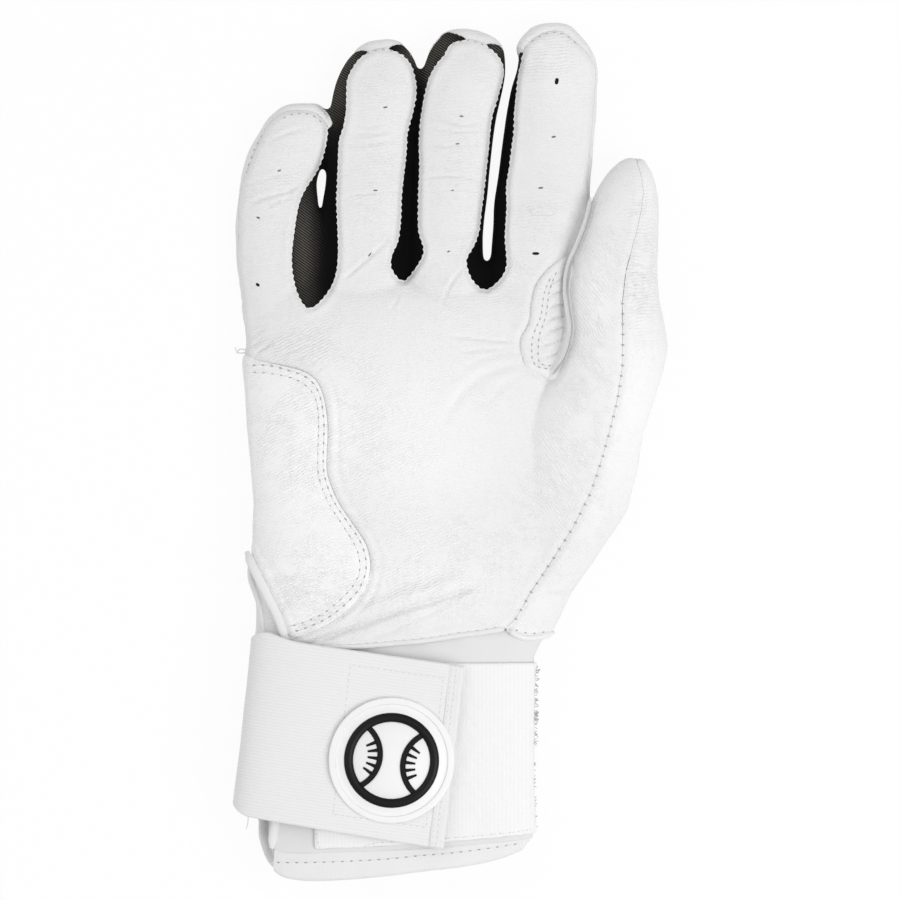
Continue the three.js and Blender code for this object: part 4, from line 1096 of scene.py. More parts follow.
# Elastic strap: one band from the back round the little-finger edge and across the palm side
print("strap")
strap = {
    "centre": (-16.1, -90.6),
    "tilt": math.radians(-8),
    "foldU": -47.8,
    "endU": 17.5,
    "anchorU": 32,
    "thick": 1.8,
    "top": 22.5,          # underside of the flap above the surface
    "square": 4,
    "highHalf": 27.9,
    "foldHalf": 26.6,
    "endHalf": 28.1,
    "corner": 5.5,
    "highCorner": 5.0,
    "curl": 1.8,          # the strap stands this much higher beside the fold
    "skew": 0.025,        # the ends stand this much nearer upright than the strap's edges ask
    "rib": 1.43,
    "ribHeight": 0.045,
    "edgeRadius": 0.8,
    "edgeDrop": 0.75,
    "selvedge": 1.9,
    "tape": 4.4,
    "hook": 30,
    "hookMargin": 3.5,
}
turnStrap = np.array([[math.cos(strap["tilt"]), math.sin(strap["tilt"])], [-math.sin(strap["tilt"]),
                                                                           math.cos(strap["tilt"])]])
turnStrap[1] -= strap["skew"] * turnStrap[0]


def strapPlace(u, v, z):
    flat = np.stack([u, v], axis=-1) @ turnStrap + np.array(strap["centre"])
    return np.concatenate([flat, np.asarray(z)[..., None]], axis=-1)


def strapPath(step):
    middle = (strap["thick"] + strap["top"]) / 2
    half = -strap["foldU"] - strap["thick"] / 2
    rise = strap["top"] / 2
    share = np.sin(np.linspace(0, np.pi / 2, 60))
    lowU, lowZ = -half * share, middle - rise * (1 - share ** strap["square"]) ** (1 / strap["square"])
    path = np.concatenate([
        [[strap["anchorU"], lowZ[0]]],
        np.stack([lowU, lowZ], axis=1),
        np.stack([lowU, 2 * middle - lowZ], axis=1)[::-1][1:],
        [[strap["endU"] - strap["tape"], 2 * middle - lowZ[0]]],
    ])
    return evenLine(path, step)


def strapHalves(u):
    t = (u - strap["foldU"]) / (strap["endU"] - strap["foldU"])
    half = strap["foldHalf"] + (strap["endHalf"] - strap["foldHalf"]) * np.clip(t, 0, 1)
    fromFold = u - strap["foldU"]
    lowCut, highCut = (size * roundedEdge(fromFold, size)
                       for size in (strap["corner"], strap["highCorner"]))
    curl = strap["curl"] * bell(fromFold - 3, 7)
    return half - lowCut, strap["highHalf"] + curl - highCut


path, ahead = strapPath(1.0)
across = np.linspace(0, 1, 300)
low, high = strapHalves(path[:, 0])
v = -low[:, None] + (low + high)[:, None] * across[None, :]
u = np.repeat(path[:, :1], len(across), axis=1)
z = np.repeat(path[:, 1:], len(across), axis=1)
corners = strapPlace(u, v, z).reshape(-1, 3)
outward = np.stack([-ahead[:, 1], ahead[:, 0]], axis=1)
if outward[len(outward) // 2, 0] > 0:
    outward = -outward
facing = strapPlace(outward[:, :1] + u * 0, v * 0, outward[:, 1:] + z * 0) - strapPlace(u * 0, v * 0, z * 0)
facing = facing.reshape(-1, 3)
triangles = gridTriangles(len(path), len(across))
if (normalsOf(corners, triangles) * facing).sum() < 0:
    triangles = triangles[:, ::-1]
edge = np.minimum(v + low[:, None], high[:, None] - v).reshape(-1)
wave = 0.16 * ripple(corners, 21, 12) * smoothStep(corners[:, 2], 4, 9)
band = Skin(corners + facing * wave[:, None], triangles, {"normal": facing})
phase = 2 * np.pi * v.reshape(-1) / strap["rib"] + 1.5 * ripple(corners, 24, 5)
ribs = strap["ribHeight"] * (0.5 + 0.5 * np.cos(phase))
ribs *= 0.6 + 0.5 * ripple(corners, 6, 6)
ribs = np.where(edge < strap["selvedge"], 0.7 * strap["ribHeight"], np.clip(ribs, 0, strap["ribHeight"]))
ribs -= 0.08 * bell(edge - strap["selvedge"], 0.25)
roll = strap["edgeDrop"] * roundedEdge(edge, strap["edgeRadius"])
strapPiece = band.shell("elastic_wrist_strap", strap["thick"] / 2 - strap["ribHeight"] + ribs - roll,
                        -strap["thick"] / 2 + strap["ribHeight"] + roll - ribs)
smoothShading(strapPiece, 60)
# weave coordinates in metres: along the band and across it
along = np.repeat(np.arange(len(path)) * 1.0, len(across))
weave = strapPiece.data.uv_layers.new(name="weave")
loops = np.empty(len(strapPiece.data.loops), dtype=np.int32)
strapPiece.data.loops.foreach_get("vertex_index", loops)
loops %= len(along)
weave.data.foreach_set("uv", (np.stack([along[loops], v.reshape(-1)[loops]], axis=1) * metres).reshape(-1))
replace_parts(strapPiece, "strap_anchor", "strap_flap")
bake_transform(strapPiece)


def slab(name, lowU, highU, lowV, highV, base, top, step, roundOff, bumps=None):
    # a sewn-on flat piece of the strap, with its edges rounded off
    us = np.linspace(lowU, highU, max(6, int((highU - lowU) / step)))
    vs = np.linspace(lowV, highV, max(6, int((highV - lowV) / step)))
    gridU, gridV = np.meshgrid(us, vs, indexing="ij")
    edge = np.minimum(np.minimum(gridU - lowU, highU - gridU), np.minimum(gridV - lowV,
                                                                          highV - gridV)).reshape(-1)
    half = (top - base) / 2
    roll = half * roundedEdge(edge, roundOff)
    corners = strapPlace(gridU, gridV, np.full_like(gridU, (base + top) / 2)).reshape(-1, 3)
    sheet = Skin(corners, gridTriangles(*gridU.shape), {"normal": np.tile([0.0, 0, 1], (len(corners), 1))})
    extra = bumps(gridU.reshape(-1)) if bumps else 0
    piece = sheet.shell(name, half - roll + extra * (roll < 0.05), -half + roll)
    smoothShading(piece, 60)
    return piece


flapTop = strap["top"] + strap["thick"]
tapeU = strap["endU"] - strap["tape"]


def tapeRibs(u):
    return 0.08 * np.abs(np.cos(np.pi * u / 0.75))


tapePiece = slab("strap_end_fold", tapeU - 0.4, strap["endU"], 0.1 - strap["endHalf"],
                 strap["highHalf"] - 0.1, strap["top"] - 0.25, flapTop + 0.28, 0.18, 0.7, tapeRibs)
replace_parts(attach(tapePiece, "strap"), "strap_end_tape")
hookBase = slab("hook_tape", tapeU - strap["hook"], tapeU - 0.6, strap["hookMargin"] - strap["endHalf"],
                strap["endHalf"] - strap["hookMargin"], strap["top"] - 0.9, strap["top"] - 0.25, 1.0, 0.4)
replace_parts(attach(hookBase, "strap"), "hook_patch")

# Sewing. One stitch and one needle hole are shaped once and copied along each row.

def roundedStitch(sides=6):
    stations = [(-0.5, 0.3), (-0.36, 0.85), (0, 1.0), (0.36, 0.85), (0.5, 0.3)]
    turn = np.linspace(0, 2 * np.pi, sides, endpoint=False)
    rings = [np.stack([np.full(sides, x), r * np.cos(turn) / 2, r * np.sin(turn) / 2], axis=1) for x,
             r in stations]
    return loftRings(rings)


def copyShape(shape, centres, along, up, size):
    # copies of a shape, each turned to its own direction; size is length, width and height
    corners, faces = shape
    side = unit(np.cross(up, along))
    lift = np.cross(along, side)
    size = np.asarray(size, dtype=float)
    placed = (centres[:, None, :] + along[:, None, :] * (corners[None, :, :1] * size[0])
              + side[:, None, :] * (corners[None, :, 1:2] * size[1])
              + lift[:, None, :] * (corners[None, :, 2:] * size[2])).reshape(-1, 3)
    count = len(corners)
    allFaces = [tuple(corner + count * copy for corner in face) for copy in range(len(centres))
                for face in faces]
    return placed, allFaces


def gathered(name, groups, body):
    piece = makeObject(name, *stacked(groups))
    smoothShading(piece, 80)
    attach(piece, body)


def surfaceOf(*pieces):
    corners, triangles, shift = [], [], 0
    for piece in pieces:
        places = cornersOf(piece)
        corners.append(places)
        triangles.append(trianglesOf(piece) + shift)
        shift += len(places)
    return Surface(np.concatenate(corners), np.concatenate(triangles))


stitchShape = roundedStitch()
holeShape = roundedStitch(8)


def sewRow(line, surface, pitch, stitch=(1.9, 0.42, 0.34), hole=(0.95, 0.42, 0.12), across=False,
           below=False, sink=0.05, facing=0.45):
    # a row of stitches with the needle holes between them, where the surface faces up or down this much
    points, ahead = evenLine(smoothLine(np.asarray(line, dtype=float), 0.5), pitch)
    middles, middleAhead = (points[:-1] + points[1:]) / 2, ahead[:-1] + ahead[1:]
    threads, holes = [], []
    for places, headings, size, out, lower in ((points, ahead, stitch, threads, sink),
                                               (middles, middleAhead, hole, holes, 0.0)):
        centres, up = surface.drop(places, below)
        known = ~np.isnan(centres[:, 2]) & (np.abs(up[:, 2]) > facing)
        centres, up, headings = centres[known], up[known], headings[known]
        if not len(centres):
            continue
        along = np.column_stack([headings, np.zeros(len(headings))])
        along = unit(along - up * (along * up).sum(axis=1, keepdims=True))
        if across:
            along = np.cross(up, along)
        out.append(copyShape(stitchShape if out is threads else holeShape, centres - up * lower, along,
                             up, size))
    return threads, holes


def inside(outline, distance):
    # the outline drawn this far inside itself
    points, ahead = evenLine(outline, 1.0, closed=True)
    middle = np.stack([-ahead[:, 1], ahead[:, 0]], axis=1)
    area = (points[:, 0] * np.roll(points[:, 1], -1) - np.roll(points[:, 0], -1) * points[:, 1]).sum()
    return points + middle * np.sign(area) * distance


print("stitches")
sewing = {
    "heel": 2.75,          # stitch pitches in millimetres
    "fork": 2.1,
    "thumb": 3.15,
    "tip": 2.3,
    "hem": 2.75,
    "tape": 1.8,
    "strap": 1.9,
}
leatherTop = surfaceOf(palmPiece, sidePiece, backPiece)
heelTop = surfaceOf(heelPiece)
forkTop = surfaceOf(forkPiece)
cuffOutside = surfaceOf(palmCuff, backCuff, hemPiece)
heelRow = [(249.6, 364.7), (269.3, 364.7), (286, 369), (303, 374.5), (312.8, 381.5), (319.5, 392.8),
           (323, 409.6), (324.4, 426.4), (323.6, 450), (324.5, 474), (334, 500), (348, 521), (362, 543),
           (366.5, 564), (362, 582), (352, 596), (331, 614), (309, 625), (293, 630)]
heelRow2 = [(250.3, 371.7), (263.7, 372), (274.9, 373.4), (290.3, 376.6), (301.6, 381.5), (308.6, 387),
            (314.2, 393.5), (318, 406.8), (318.9, 426.4), (318.2, 450), (319, 475), (328.5, 501),
            (342.5, 523), (356, 545), (360.3, 564), (356.5, 579), (347.5, 591), (328, 608.5), (307, 619.5),
            (290, 624.5)]
forkRow = [(556.5, 270), (552.8, 278.3), (548, 292.6), (546.4, 307), (543.2, 321.3), (538.6, 334),
           (537.6, 347), (538.4, 362.8), (552, 365)]
forkRow2 = [(550.5, 277), (544.8, 287.8), (541.6, 303.8), (540, 316.5), (532.5, 334), (530.8, 350),
            (533.6, 364.4), (548, 368.5)]
threads, holes, seamDots, faintHoles = [], [], [], []
for line, surface, pitch, settings in (
        (heelRow, heelTop, sewing["heel"], {"hole": (1.05, 0.5, 0.12)}),
        (heelRow2, heelTop, sewing["heel"], {"hole": (0.9, 0.4, 0.12)}),
        (forkRow, forkTop, sewing["fork"], {"stitch": (1.4, 0.4, 0.34)}),
        (forkRow2, forkTop, sewing["fork"], {"stitch": (1.4, 0.4, 0.34)}),
        ([(281, 119), (289, 114), (299, 112.6), (310, 113.5), (318, 118), (322.5, 123)], leatherTop,
         sewing["tip"], {}),
        ([(268, 126), (262, 133), (254, 148), (247.5, 165), (243, 182)], leatherTop, sewing["tip"], {}),
        ([(357, 57), (368, 51.5), (379, 49), (390, 49.5), (401, 54)], leatherTop, sewing["tip"], {}),
        ([(444, 50), (454, 42), (466, 39.7), (479, 42), (491, 49.5)], leatherTop, sewing["tip"], {}),
        ([(529, 42), (543, 33.3), (556, 31), (567, 35), (577, 44)], leatherTop, sewing["tip"], {}),
        ([(604, 174), (612, 164), (624, 155.5), (633, 154)], leatherTop, sewing["tip"], {})):
    made = sewRow(toMm(line), surface, pitch, **settings)
    threads += made[0]
    holes += made[1]
for line, below in ((toMm(thumbSeam[6:]), False),
                    (toMm(thumbSeam[1:-2]) + np.array([backSeamShift, 0]), True)):
    seamDots += sewRow(line, handTop, sewing["thumb"], (0.9, 0.45, 0.5), across=True, below=below,
                       sink=-0.24,
                       facing=0.75 if below else 0.45)[0]
hemRow = [(274, 860), (312, 859.5), (350, 858), (385, 856), (415, 853), (450, 850), (485, 846), (519, 841)]
palmHemRow = [(499, 625), (481, 628), (457, 631), (425, 636), (393, 639), (355, 642), (326, 643)]
sideHemRow = [(512, 626.5), (524, 631.5), (537, 631.5), (547, 630)]
for line, surface, pitch, below in ((inside(knuckleLine, -1.3), leatherTop, sewing["tip"], True),
                                    (toMm(hemRow), cuffOutside, sewing["hem"], False),
                                    (toMm(hemRow), cuffOutside, sewing["hem"], True),
                                    (toMm(palmHemRow), leatherTop, sewing["heel"], False),
                                    (toMm(sideHemRow), leatherTop, sewing["heel"], False)):
    made = sewRow(line, surface, pitch, below=below)
    threads += made[0]
    holes += made[1]
loopTop = surfaceOf(loopPiece)
loopRow = [(319, 700), (319, 842), (380, 839.3), (445, 835.3), (500, 830.7), (531, 827.5)]
made = sewRow(toMm(loopRow), loopTop, sewing["heel"], (1.6, 0.36, 0.24), (0.7, 0.34, 0.1))
threads += made[0]
faintHoles += made[1]
strapTop = surfaceOf(strapPiece, tapePiece)


def strapLine(points):
    return np.array(points, dtype=float) @ turnStrap + np.array(strap["centre"])


strapThreads, strapHoles = [], []
hookLow, hookHigh = strap["hookMargin"] - strap["foldHalf"], strap["highHalf"] - strap["hookMargin"]
left, right, low, high = tapeU - strap["hook"], tapeU - 1.6, hookLow + 1, hookHigh - 1
for line, pitch in (([(tapeU + 0.7, -27.4), (tapeU + 0.7, 27.2)], sewing["tape"]),
                    ([(tapeU + 2.0, -27.4), (tapeU + 2.0, 27.2)], sewing["tape"]),
                    ([(left, low), (right, low)], sewing["strap"]),
                    ([(left, high), (right, high)], sewing["strap"]),
                    ([(left, low), (left, high)], sewing["strap"]),
                    ([(right, low), (right, high)], sewing["strap"])):
    made = sewRow(strapLine(line), strapTop, pitch, (1.2, 0.34, 0.26), (0.6, 0.3, 0.1))
    strapThreads += made[0]
    strapHoles += made[1]
for name, shapes, body in (("glove_stitches", threads, "glove"), ("glove_needle_holes", holes, "glove"),
                           ("loop_panel_needle_holes", faintHoles, "glove"),
                           ("thumb_seam_stitches", seamDots, "glove"),
                           ("strap_stitches", strapThreads, "strap"),
                           ("strap_needle_holes", strapHoles, "strap")):
    gathered(name, shapes, body)

# Breathing holes of the fingers: place, length, width and turn
print("breathing holes")
breathing = [((556, 81), 2.0, 1.2, 80), ((553, 136.5), 1.3, 0.6, 8), ((540, 187.5), 1.5, 0.6, 5),
             ((535, 253), 2.1, 0.9, 0), ((461, 116), 1.2, 0.5, -5), ((457, 143.5), 1.2, 0.5, 5),
             ((452, 190), 0.9, 0.4, 0), ((448, 251), 0.9, 0.5, 20), ((385, 107), 1.4, 0.5, 12),
             ((375, 190), 1.3, 0.5, 0), ((369.5, 254), 1.5, 0.6, 50), ((279, 170), 1.2, 0.5, 20),
             ((258, 217), 1.2, 0.6, -15), ((257.5, 284), 1.4, 0.9, -35)]
# each opening is a small disc on the leather whose colour is painted shade
pits, slits = [], []
for centre, length, width, turn in breathing:
    place, up = leatherTop.drop(toMm([centre]))
    heading = np.array([[math.cos(math.radians(turn)), math.sin(math.radians(turn)), 0.0]])
    heading -= up * (heading * up).sum()
    opening = copyShape(holeShape, place, heading, up, (length, width, 0.12))
    (pits if width > 0.75 else slits).append(opening)
gathered("breathing_holes", pits, "glove")
gathered("breathing_slits", slits, "glove")


# Rolled edges and welts
print("welts")


def rolledEdge(name, line, width, height, lift, reach=0.0, ends=1.5):
    # a rounded edge laid on the surface, or on the highest of it within this reach to either side
    points = evenLine(smoothLine(toMm(line), 0.8), 0.8)[0]
    places, up = leatherTop.drop(points, fill=True)
    for step in (-reach, -reach / 2, reach / 2, reach):
        beside = leatherTop.drop(points + [step, 0], fill=True)[0]
        places[:, 2] = np.fmax(places[:, 2], beside[:, 2])
    places[:, 2] = smoothed(places[:, 2], 6) + lift
    fromEnd = np.minimum(np.arange(len(points)), np.arange(len(points))[::-1]) * 0.8
    taper = np.clip(fromEnd / ends, 0.15, 1) ** 0.5
    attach(tube(name, places, 12, width * taper, height * taper, up=None if reach else up), "glove")


thumbEdge = [(592.5, 197), (590, 211), (585.5, 226), (577.5, 246), (569.5, 266), (566.8, 288),
             (568.3, 306), (571, 326), (568, 345), (562, 360), (552, 374)]
# line, width, height and lift of each, and how far to its sides the highest place counts
for name, line, width, height, lift, reach in (
        ("thumb_welt", [(x - 3.0, y) for x, y in thumbEdge], 1.15, 1.0, -0.3, 1.4),
        ("thumb_seam_shade_cord", thumbEdge, 0.45, 0.6, 0.14, 1.4),
        ("heel_patch_shaded_edge", heelEdge[1:15], 0.4, 0.5, 0.45, 0.0),
        ("palm_hem_roll", [(x, y - 0.6) for x, y in palmHem[:-1]], 1.8, 1.7, 0.1, 0.0),
        ("side_hem_roll", [(506, 627.5), (514, 632), (524, 636), (536, 635.6), (547, 633.8), (553.5, 631)],
         1.9, 1.8, -0.05, 0.0)):
    rolledEdge(name, line, width, height, lift, reach)

# Badge of moulded rubber: a round plate with a plain ball on it
print("badge")
badge = {
    "u": -1.2,
    "v": -3.4,
    "turn": math.radians(-8),
    "radius": 19.0,
    "plate": 1.2,
    "bevel": 0.35,
    "insets": [(1.5, 0), (0.3, -0.45), (1.1, 0), (0.3, 0.2)],     # width and rise of the rim and its groove
    "ballRadius": 14.4,
    "ringWidth": 2.8,
    "seamRadius": 11.5,
    "seamOffset": 14.2,
    "seamWidth": 1.7,
    "seamHalfTurn": 0.5,
    "stitchLength": 3.2,
    "stitchWidth": 1.15,
}
plateZ = flapTop + 0.2


def pickFaces(piece, test):
    bpy.ops.object.mode_set(mode="EDIT")
    bpy.ops.mesh.select_all(action="DESELECT")
    bpy.ops.mesh.select_mode(type="FACE")
    mesh = bmesh.from_edit_mesh(piece.data)
    for face in mesh.faces:
        face.select_set(test(face))
    bmesh.update_edit_mesh(piece.data)


def settle(piece):
    # the mesh takes the object's place on the strap, and the object goes back to the origin
    bpy.ops.object.mode_set(mode="OBJECT")
    onlySelect(piece)
    bpy.ops.object.transform_apply(location=True, rotation=True, scale=True)
    centre = strapPlace(np.array(badge["u"]), np.array(badge["v"]), np.array(plateZ)) * metres
    piece.rotation_euler = (0, 0, badge["turn"])
    piece.location = centre.tolist()
    bpy.ops.object.transform_apply(location=True, rotation=True, scale=True)


def moulding(name, one, other, height, bevel):
    # a raised figure of rubber between two edges, its top rounded off
    count = len(one)
    places = [(x * metres, y * metres, 0) for x, y in np.concatenate([one, other])]
    faces = [(step, step + 1, count + step + 1, count + step) for step in range(count - 1)]
    mesh = bpy.data.meshes.new(name)
    mesh.from_pydata(places, [], faces)
    piece = bpy.data.objects.new(name, mesh)
    bpy.context.collection.objects.link(piece)
    onlySelect(piece)
    bpy.ops.object.mode_set(mode="EDIT")
    bpy.ops.mesh.select_all(action="SELECT")
    bpy.ops.mesh.extrude_region_move(TRANSFORM_OT_translate={"value": (0, 0, height * metres)})
    bpy.ops.mesh.select_all(action="SELECT")
    bpy.ops.mesh.normals_make_consistent(inside=False)
    pickFaces(piece, lambda face: face.normal.z > 0.9)
    bpy.ops.mesh.inset(thickness=bevel * metres, depth=0)
    bpy.ops.transform.translate(value=(0, 0, bevel * 0.8 * metres))
    bpy.ops.object.mode_set(mode="OBJECT")
    return piece


bpy.ops.object.select_all(action="DESELECT")
bpy.ops.mesh.primitive_cylinder_add(vertices=128, radius=badge["radius"] * metres,
                                    depth=badge["plate"] * metres,
                                    location=(0, 0, badge["plate"] / 2 * metres))
plate = bpy.context.object
plate.name = "badge_rubber_plate"
bpy.ops.object.transform_apply(location=True)


def isTop(face):
    return face.normal.z > 0.9 and len(face.verts) > 20


pickFaces(plate, isTop)
bpy.ops.mesh.bevel(offset=badge["bevel"] * metres, segments=3, affect="EDGES")
pickFaces(plate, isTop)
for wide, rise in badge["insets"]:
    bpy.ops.mesh.inset(thickness=wide * metres, depth=rise * metres)
settle(plate)
smoothShading(plate, 35)
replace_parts(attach(plate, "strap"), "badge_plate")
bpy.ops.mesh.primitive_torus_add(major_segments=112, minor_segments=12,
                                 major_radius=(badge["ballRadius"] - badge["ringWidth"] / 2) * metres,
                                 minor_radius=badge["ringWidth"] / 2 * metres)
ring = bpy.context.object
ring.name = "badge_ball_ring"
ring.scale = (1, 1, 0.62)
ring.location = (0, 0, (badge["plate"] - 0.25) * metres)
settle(ring)
smoothShading(ring, 50)
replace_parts(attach(ring, "strap"), "badge_ring")
inner = badge["ballRadius"] - badge["ringWidth"] + 0.3
for side, node in ((-1, "badge_seam_left"), (1, "badge_seam_right")):
    half = badge["seamWidth"] / 2
    seamRadius = badge["seamRadius"] - half
    turns = np.linspace(-1.3, 1.3, 90)
    centreX = side * badge["seamOffset"]
    arc = np.stack([centreX - side * seamRadius * np.cos(turns), seamRadius * np.sin(turns)], axis=1)
    arc = arc[np.linalg.norm(arc, axis=1) < inner + 0.4]
    away = (arc - np.array([centreX, 0])) / seamRadius
    parts = [moulding(node + "_curve", arc + away * half, arc - away * half, 0.3, 0.35)]
    for turn in np.linspace(-badge["seamHalfTurn"], badge["seamHalfTurn"], 5):
        reach = seamRadius - half - badge["stitchLength"] / 2 + 0.3
        middle = np.array([centreX - side * reach * math.cos(turn), reach * math.sin(turn)])
        heading = np.array([side * math.cos(turn), -math.sin(turn)])
        sideways = np.array([-heading[1], heading[0]])
        run, wide = heading * badge["stitchLength"] / 2, sideways * badge["stitchWidth"] / 2
        low, high = (np.array([middle - run + wide * sign,
                               middle + run + wide * 0.5 * sign]) for sign in (-1, 1))
        parts.append(moulding(node + "_stitch", low, high, 0.25, 0.2))
    figure = joinPieces(node.replace("badge_seam", "badge_ball_seam"), parts)
    figure.location = (0, 0, (badge["plate"] - 0.3) * metres)
    settle(figure)
    smoothShading(figure, 30)
    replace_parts(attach(figure, "strap"), node)

# Moulded hooks under the flap
print("hooks")
hookRows = {"pitchU": 1.5, "pitchV": 1.7, "height": 0.95, "width": 0.34}
profile = [(-0.5, 0.0, 1.0), (-0.3, 0.45, 0.8), (0.1, 0.85, 0.7), (0.75, 0.95, 0.6), (1.15, 0.6, 0.45)]
rings = []
square = [(-0.5, -0.5), (0.5, -0.5), (0.5, 0.5), (-0.5, 0.5)]
for x, z, size in profile:
    rings.append(np.array([[x * 0.5 + a * 0.45 * size, b * size, z] for a, b in square]))
hookShape = loftRings(rings)
us = np.arange(tapeU - strap["hook"] + 1.6, tapeU - 2.0, hookRows["pitchU"])
vs = np.arange(hookLow + 1.6, hookHigh - 1.2, hookRows["pitchV"])
gridU, gridV = np.meshgrid(us, vs, indexing="ij")
gridV = gridV + (np.arange(len(us)) % 2)[:, None] * hookRows["pitchV"] / 2
centres = strapPlace(gridU.reshape(-1), gridV.reshape(-1), np.full(gridU.size, strap["top"] - 0.85))
heading = np.tile([*turnStrap[0], 0.0], (len(centres), 1))
heading[::2] *= -1
down = np.tile([0.0, 0, -1], (len(centres), 1))
gathered("moulded_hooks", [copyShape(hookShape, centres, heading, down, (0.7, hookRows["width"],
                                                                         hookRows["height"]))], "strap")

# Loose threads and the frayed edge of the loop panel
print("loose threads")


def strand(path, thick):
    points = np.asarray(path, dtype=float)
    centre, direction = evenLine(smoothLine(points, 0.3), 0.35)
    side = unit(np.cross(direction, [0.3, 0.2, 0.93]))
    lift = np.cross(direction, side)
    turn = np.linspace(0, 2 * np.pi, 4, endpoint=False)
    rings = [c + (np.outer(np.cos(turn), s) + np.outer(np.sin(turn), l)) * thick / 2
             for c, s, l in zip(centre, side, lift)]
    return loftRings(rings)


rng = np.random.default_rng(31)
strands = []
loopSide = surfaceOf(loopPiece)
for y in np.concatenate([rng.uniform(667, 742, 62), rng.uniform(742, 828, 16)]):
    start = toMm([(535.0 + rng.uniform(0.5, 2.0), y)])[0]
    z = rng.uniform(10.8, 13.6)
    hit = loopSide.tree.find_nearest(Vector((start[0] + 1.2, start[1], z)))[0]
    base = np.array(hit) if hit else np.array([start[0], start[1], z])
    reach = rng.uniform(0.4, 1.25) * (1.0 if y < 742 else 0.55)
    swing = rng.uniform(-0.9, 0.9)
    strands.append(strand([base - [0.2, 0, 0], base + [reach * 0.6, swing * 0.3, 0.1],
                           base + [reach, swing, rng.uniform(-0.3, 0.4)]], 0.22))
gathered("loop_edge_fuzz", strands, "glove")
sideZ = 9.0
loose = [([(246, 349), (240, 348), (236, 350.5), (234.5, 346)], [sideZ, sideZ + 0.3, sideZ + 0.1, sideZ],
          0.4), ([(246, 351), (240, 352), (235.5, 351.5)], [sideZ - 0.6, sideZ - 0.4, sideZ - 0.6], 0.35),
         ([(250.5, 812), (248, 816), (247.5, 821), (246, 828)], [12.0, 12.4, 12.2, 11.4], 0.3)]
gathered("loose_threads", [strand(np.column_stack([toMm(line), heights]), thick) for line, heights,
                           thick in loose],
         "glove")

# Finishes

def linear(hexColour):
    parts = [int(hexColour[place:place + 2], 16) / 255 for place in (1, 3, 5)]
    return tuple(v / 12.92 if v <= 0.04045 else ((v + 0.055) / 1.055) ** 2.4 for v in parts) + (1.0,)


def addNode(tree, kind, inputs=None, **settings):
    made = tree.nodes.new("ShaderNode" + kind)
    for key, value in settings.items():
        setattr(made, key, value)
    for key, value in (inputs or {}).items():
        if isinstance(value, bpy.types.NodeSocket):
            tree.links.new(value, made.inputs[key])
        else:
            made.inputs[key].default_value = value
    return made


def startFinish(name, roughness, sheen=0.0, specular=0.5):
    material = bpy.data.materials.new(name)
    material.use_nodes = True
    tree = material.node_tree
    shader = tree.nodes["Principled BSDF"]
    shader.inputs["Roughness"].default_value = roughness
    shader.inputs["Specular IOR Level"].default_value = specular
    shader.inputs["Sheen Weight"].default_value = sheen
    return material, tree, shader


def tintAndRelief(tree, shader, share, low, high, height):
    # colour between two shades by a share from 0 to 1, and relief from a height in millimetres
    tint = addNode(tree, "Mix", {0: share, 6: linear(low), 7: linear(high)}, data_type="RGBA")
    tree.links.new(tint.outputs[2], shader.inputs["Base Color"])
    bump = addNode(tree, "Bump", {"Height": height, "Distance": 0.001, "Strength": 1.0})
    tree.links.new(bump.outputs["Normal"], shader.inputs["Normal"])


# Fine wrinkles: turn in degrees and spacing in millimetres
wrinkles = {"levelFolds": (4, 1.0), "risingFolds": (24, 0.9), "fallingFolds": (-52, 0.86)}


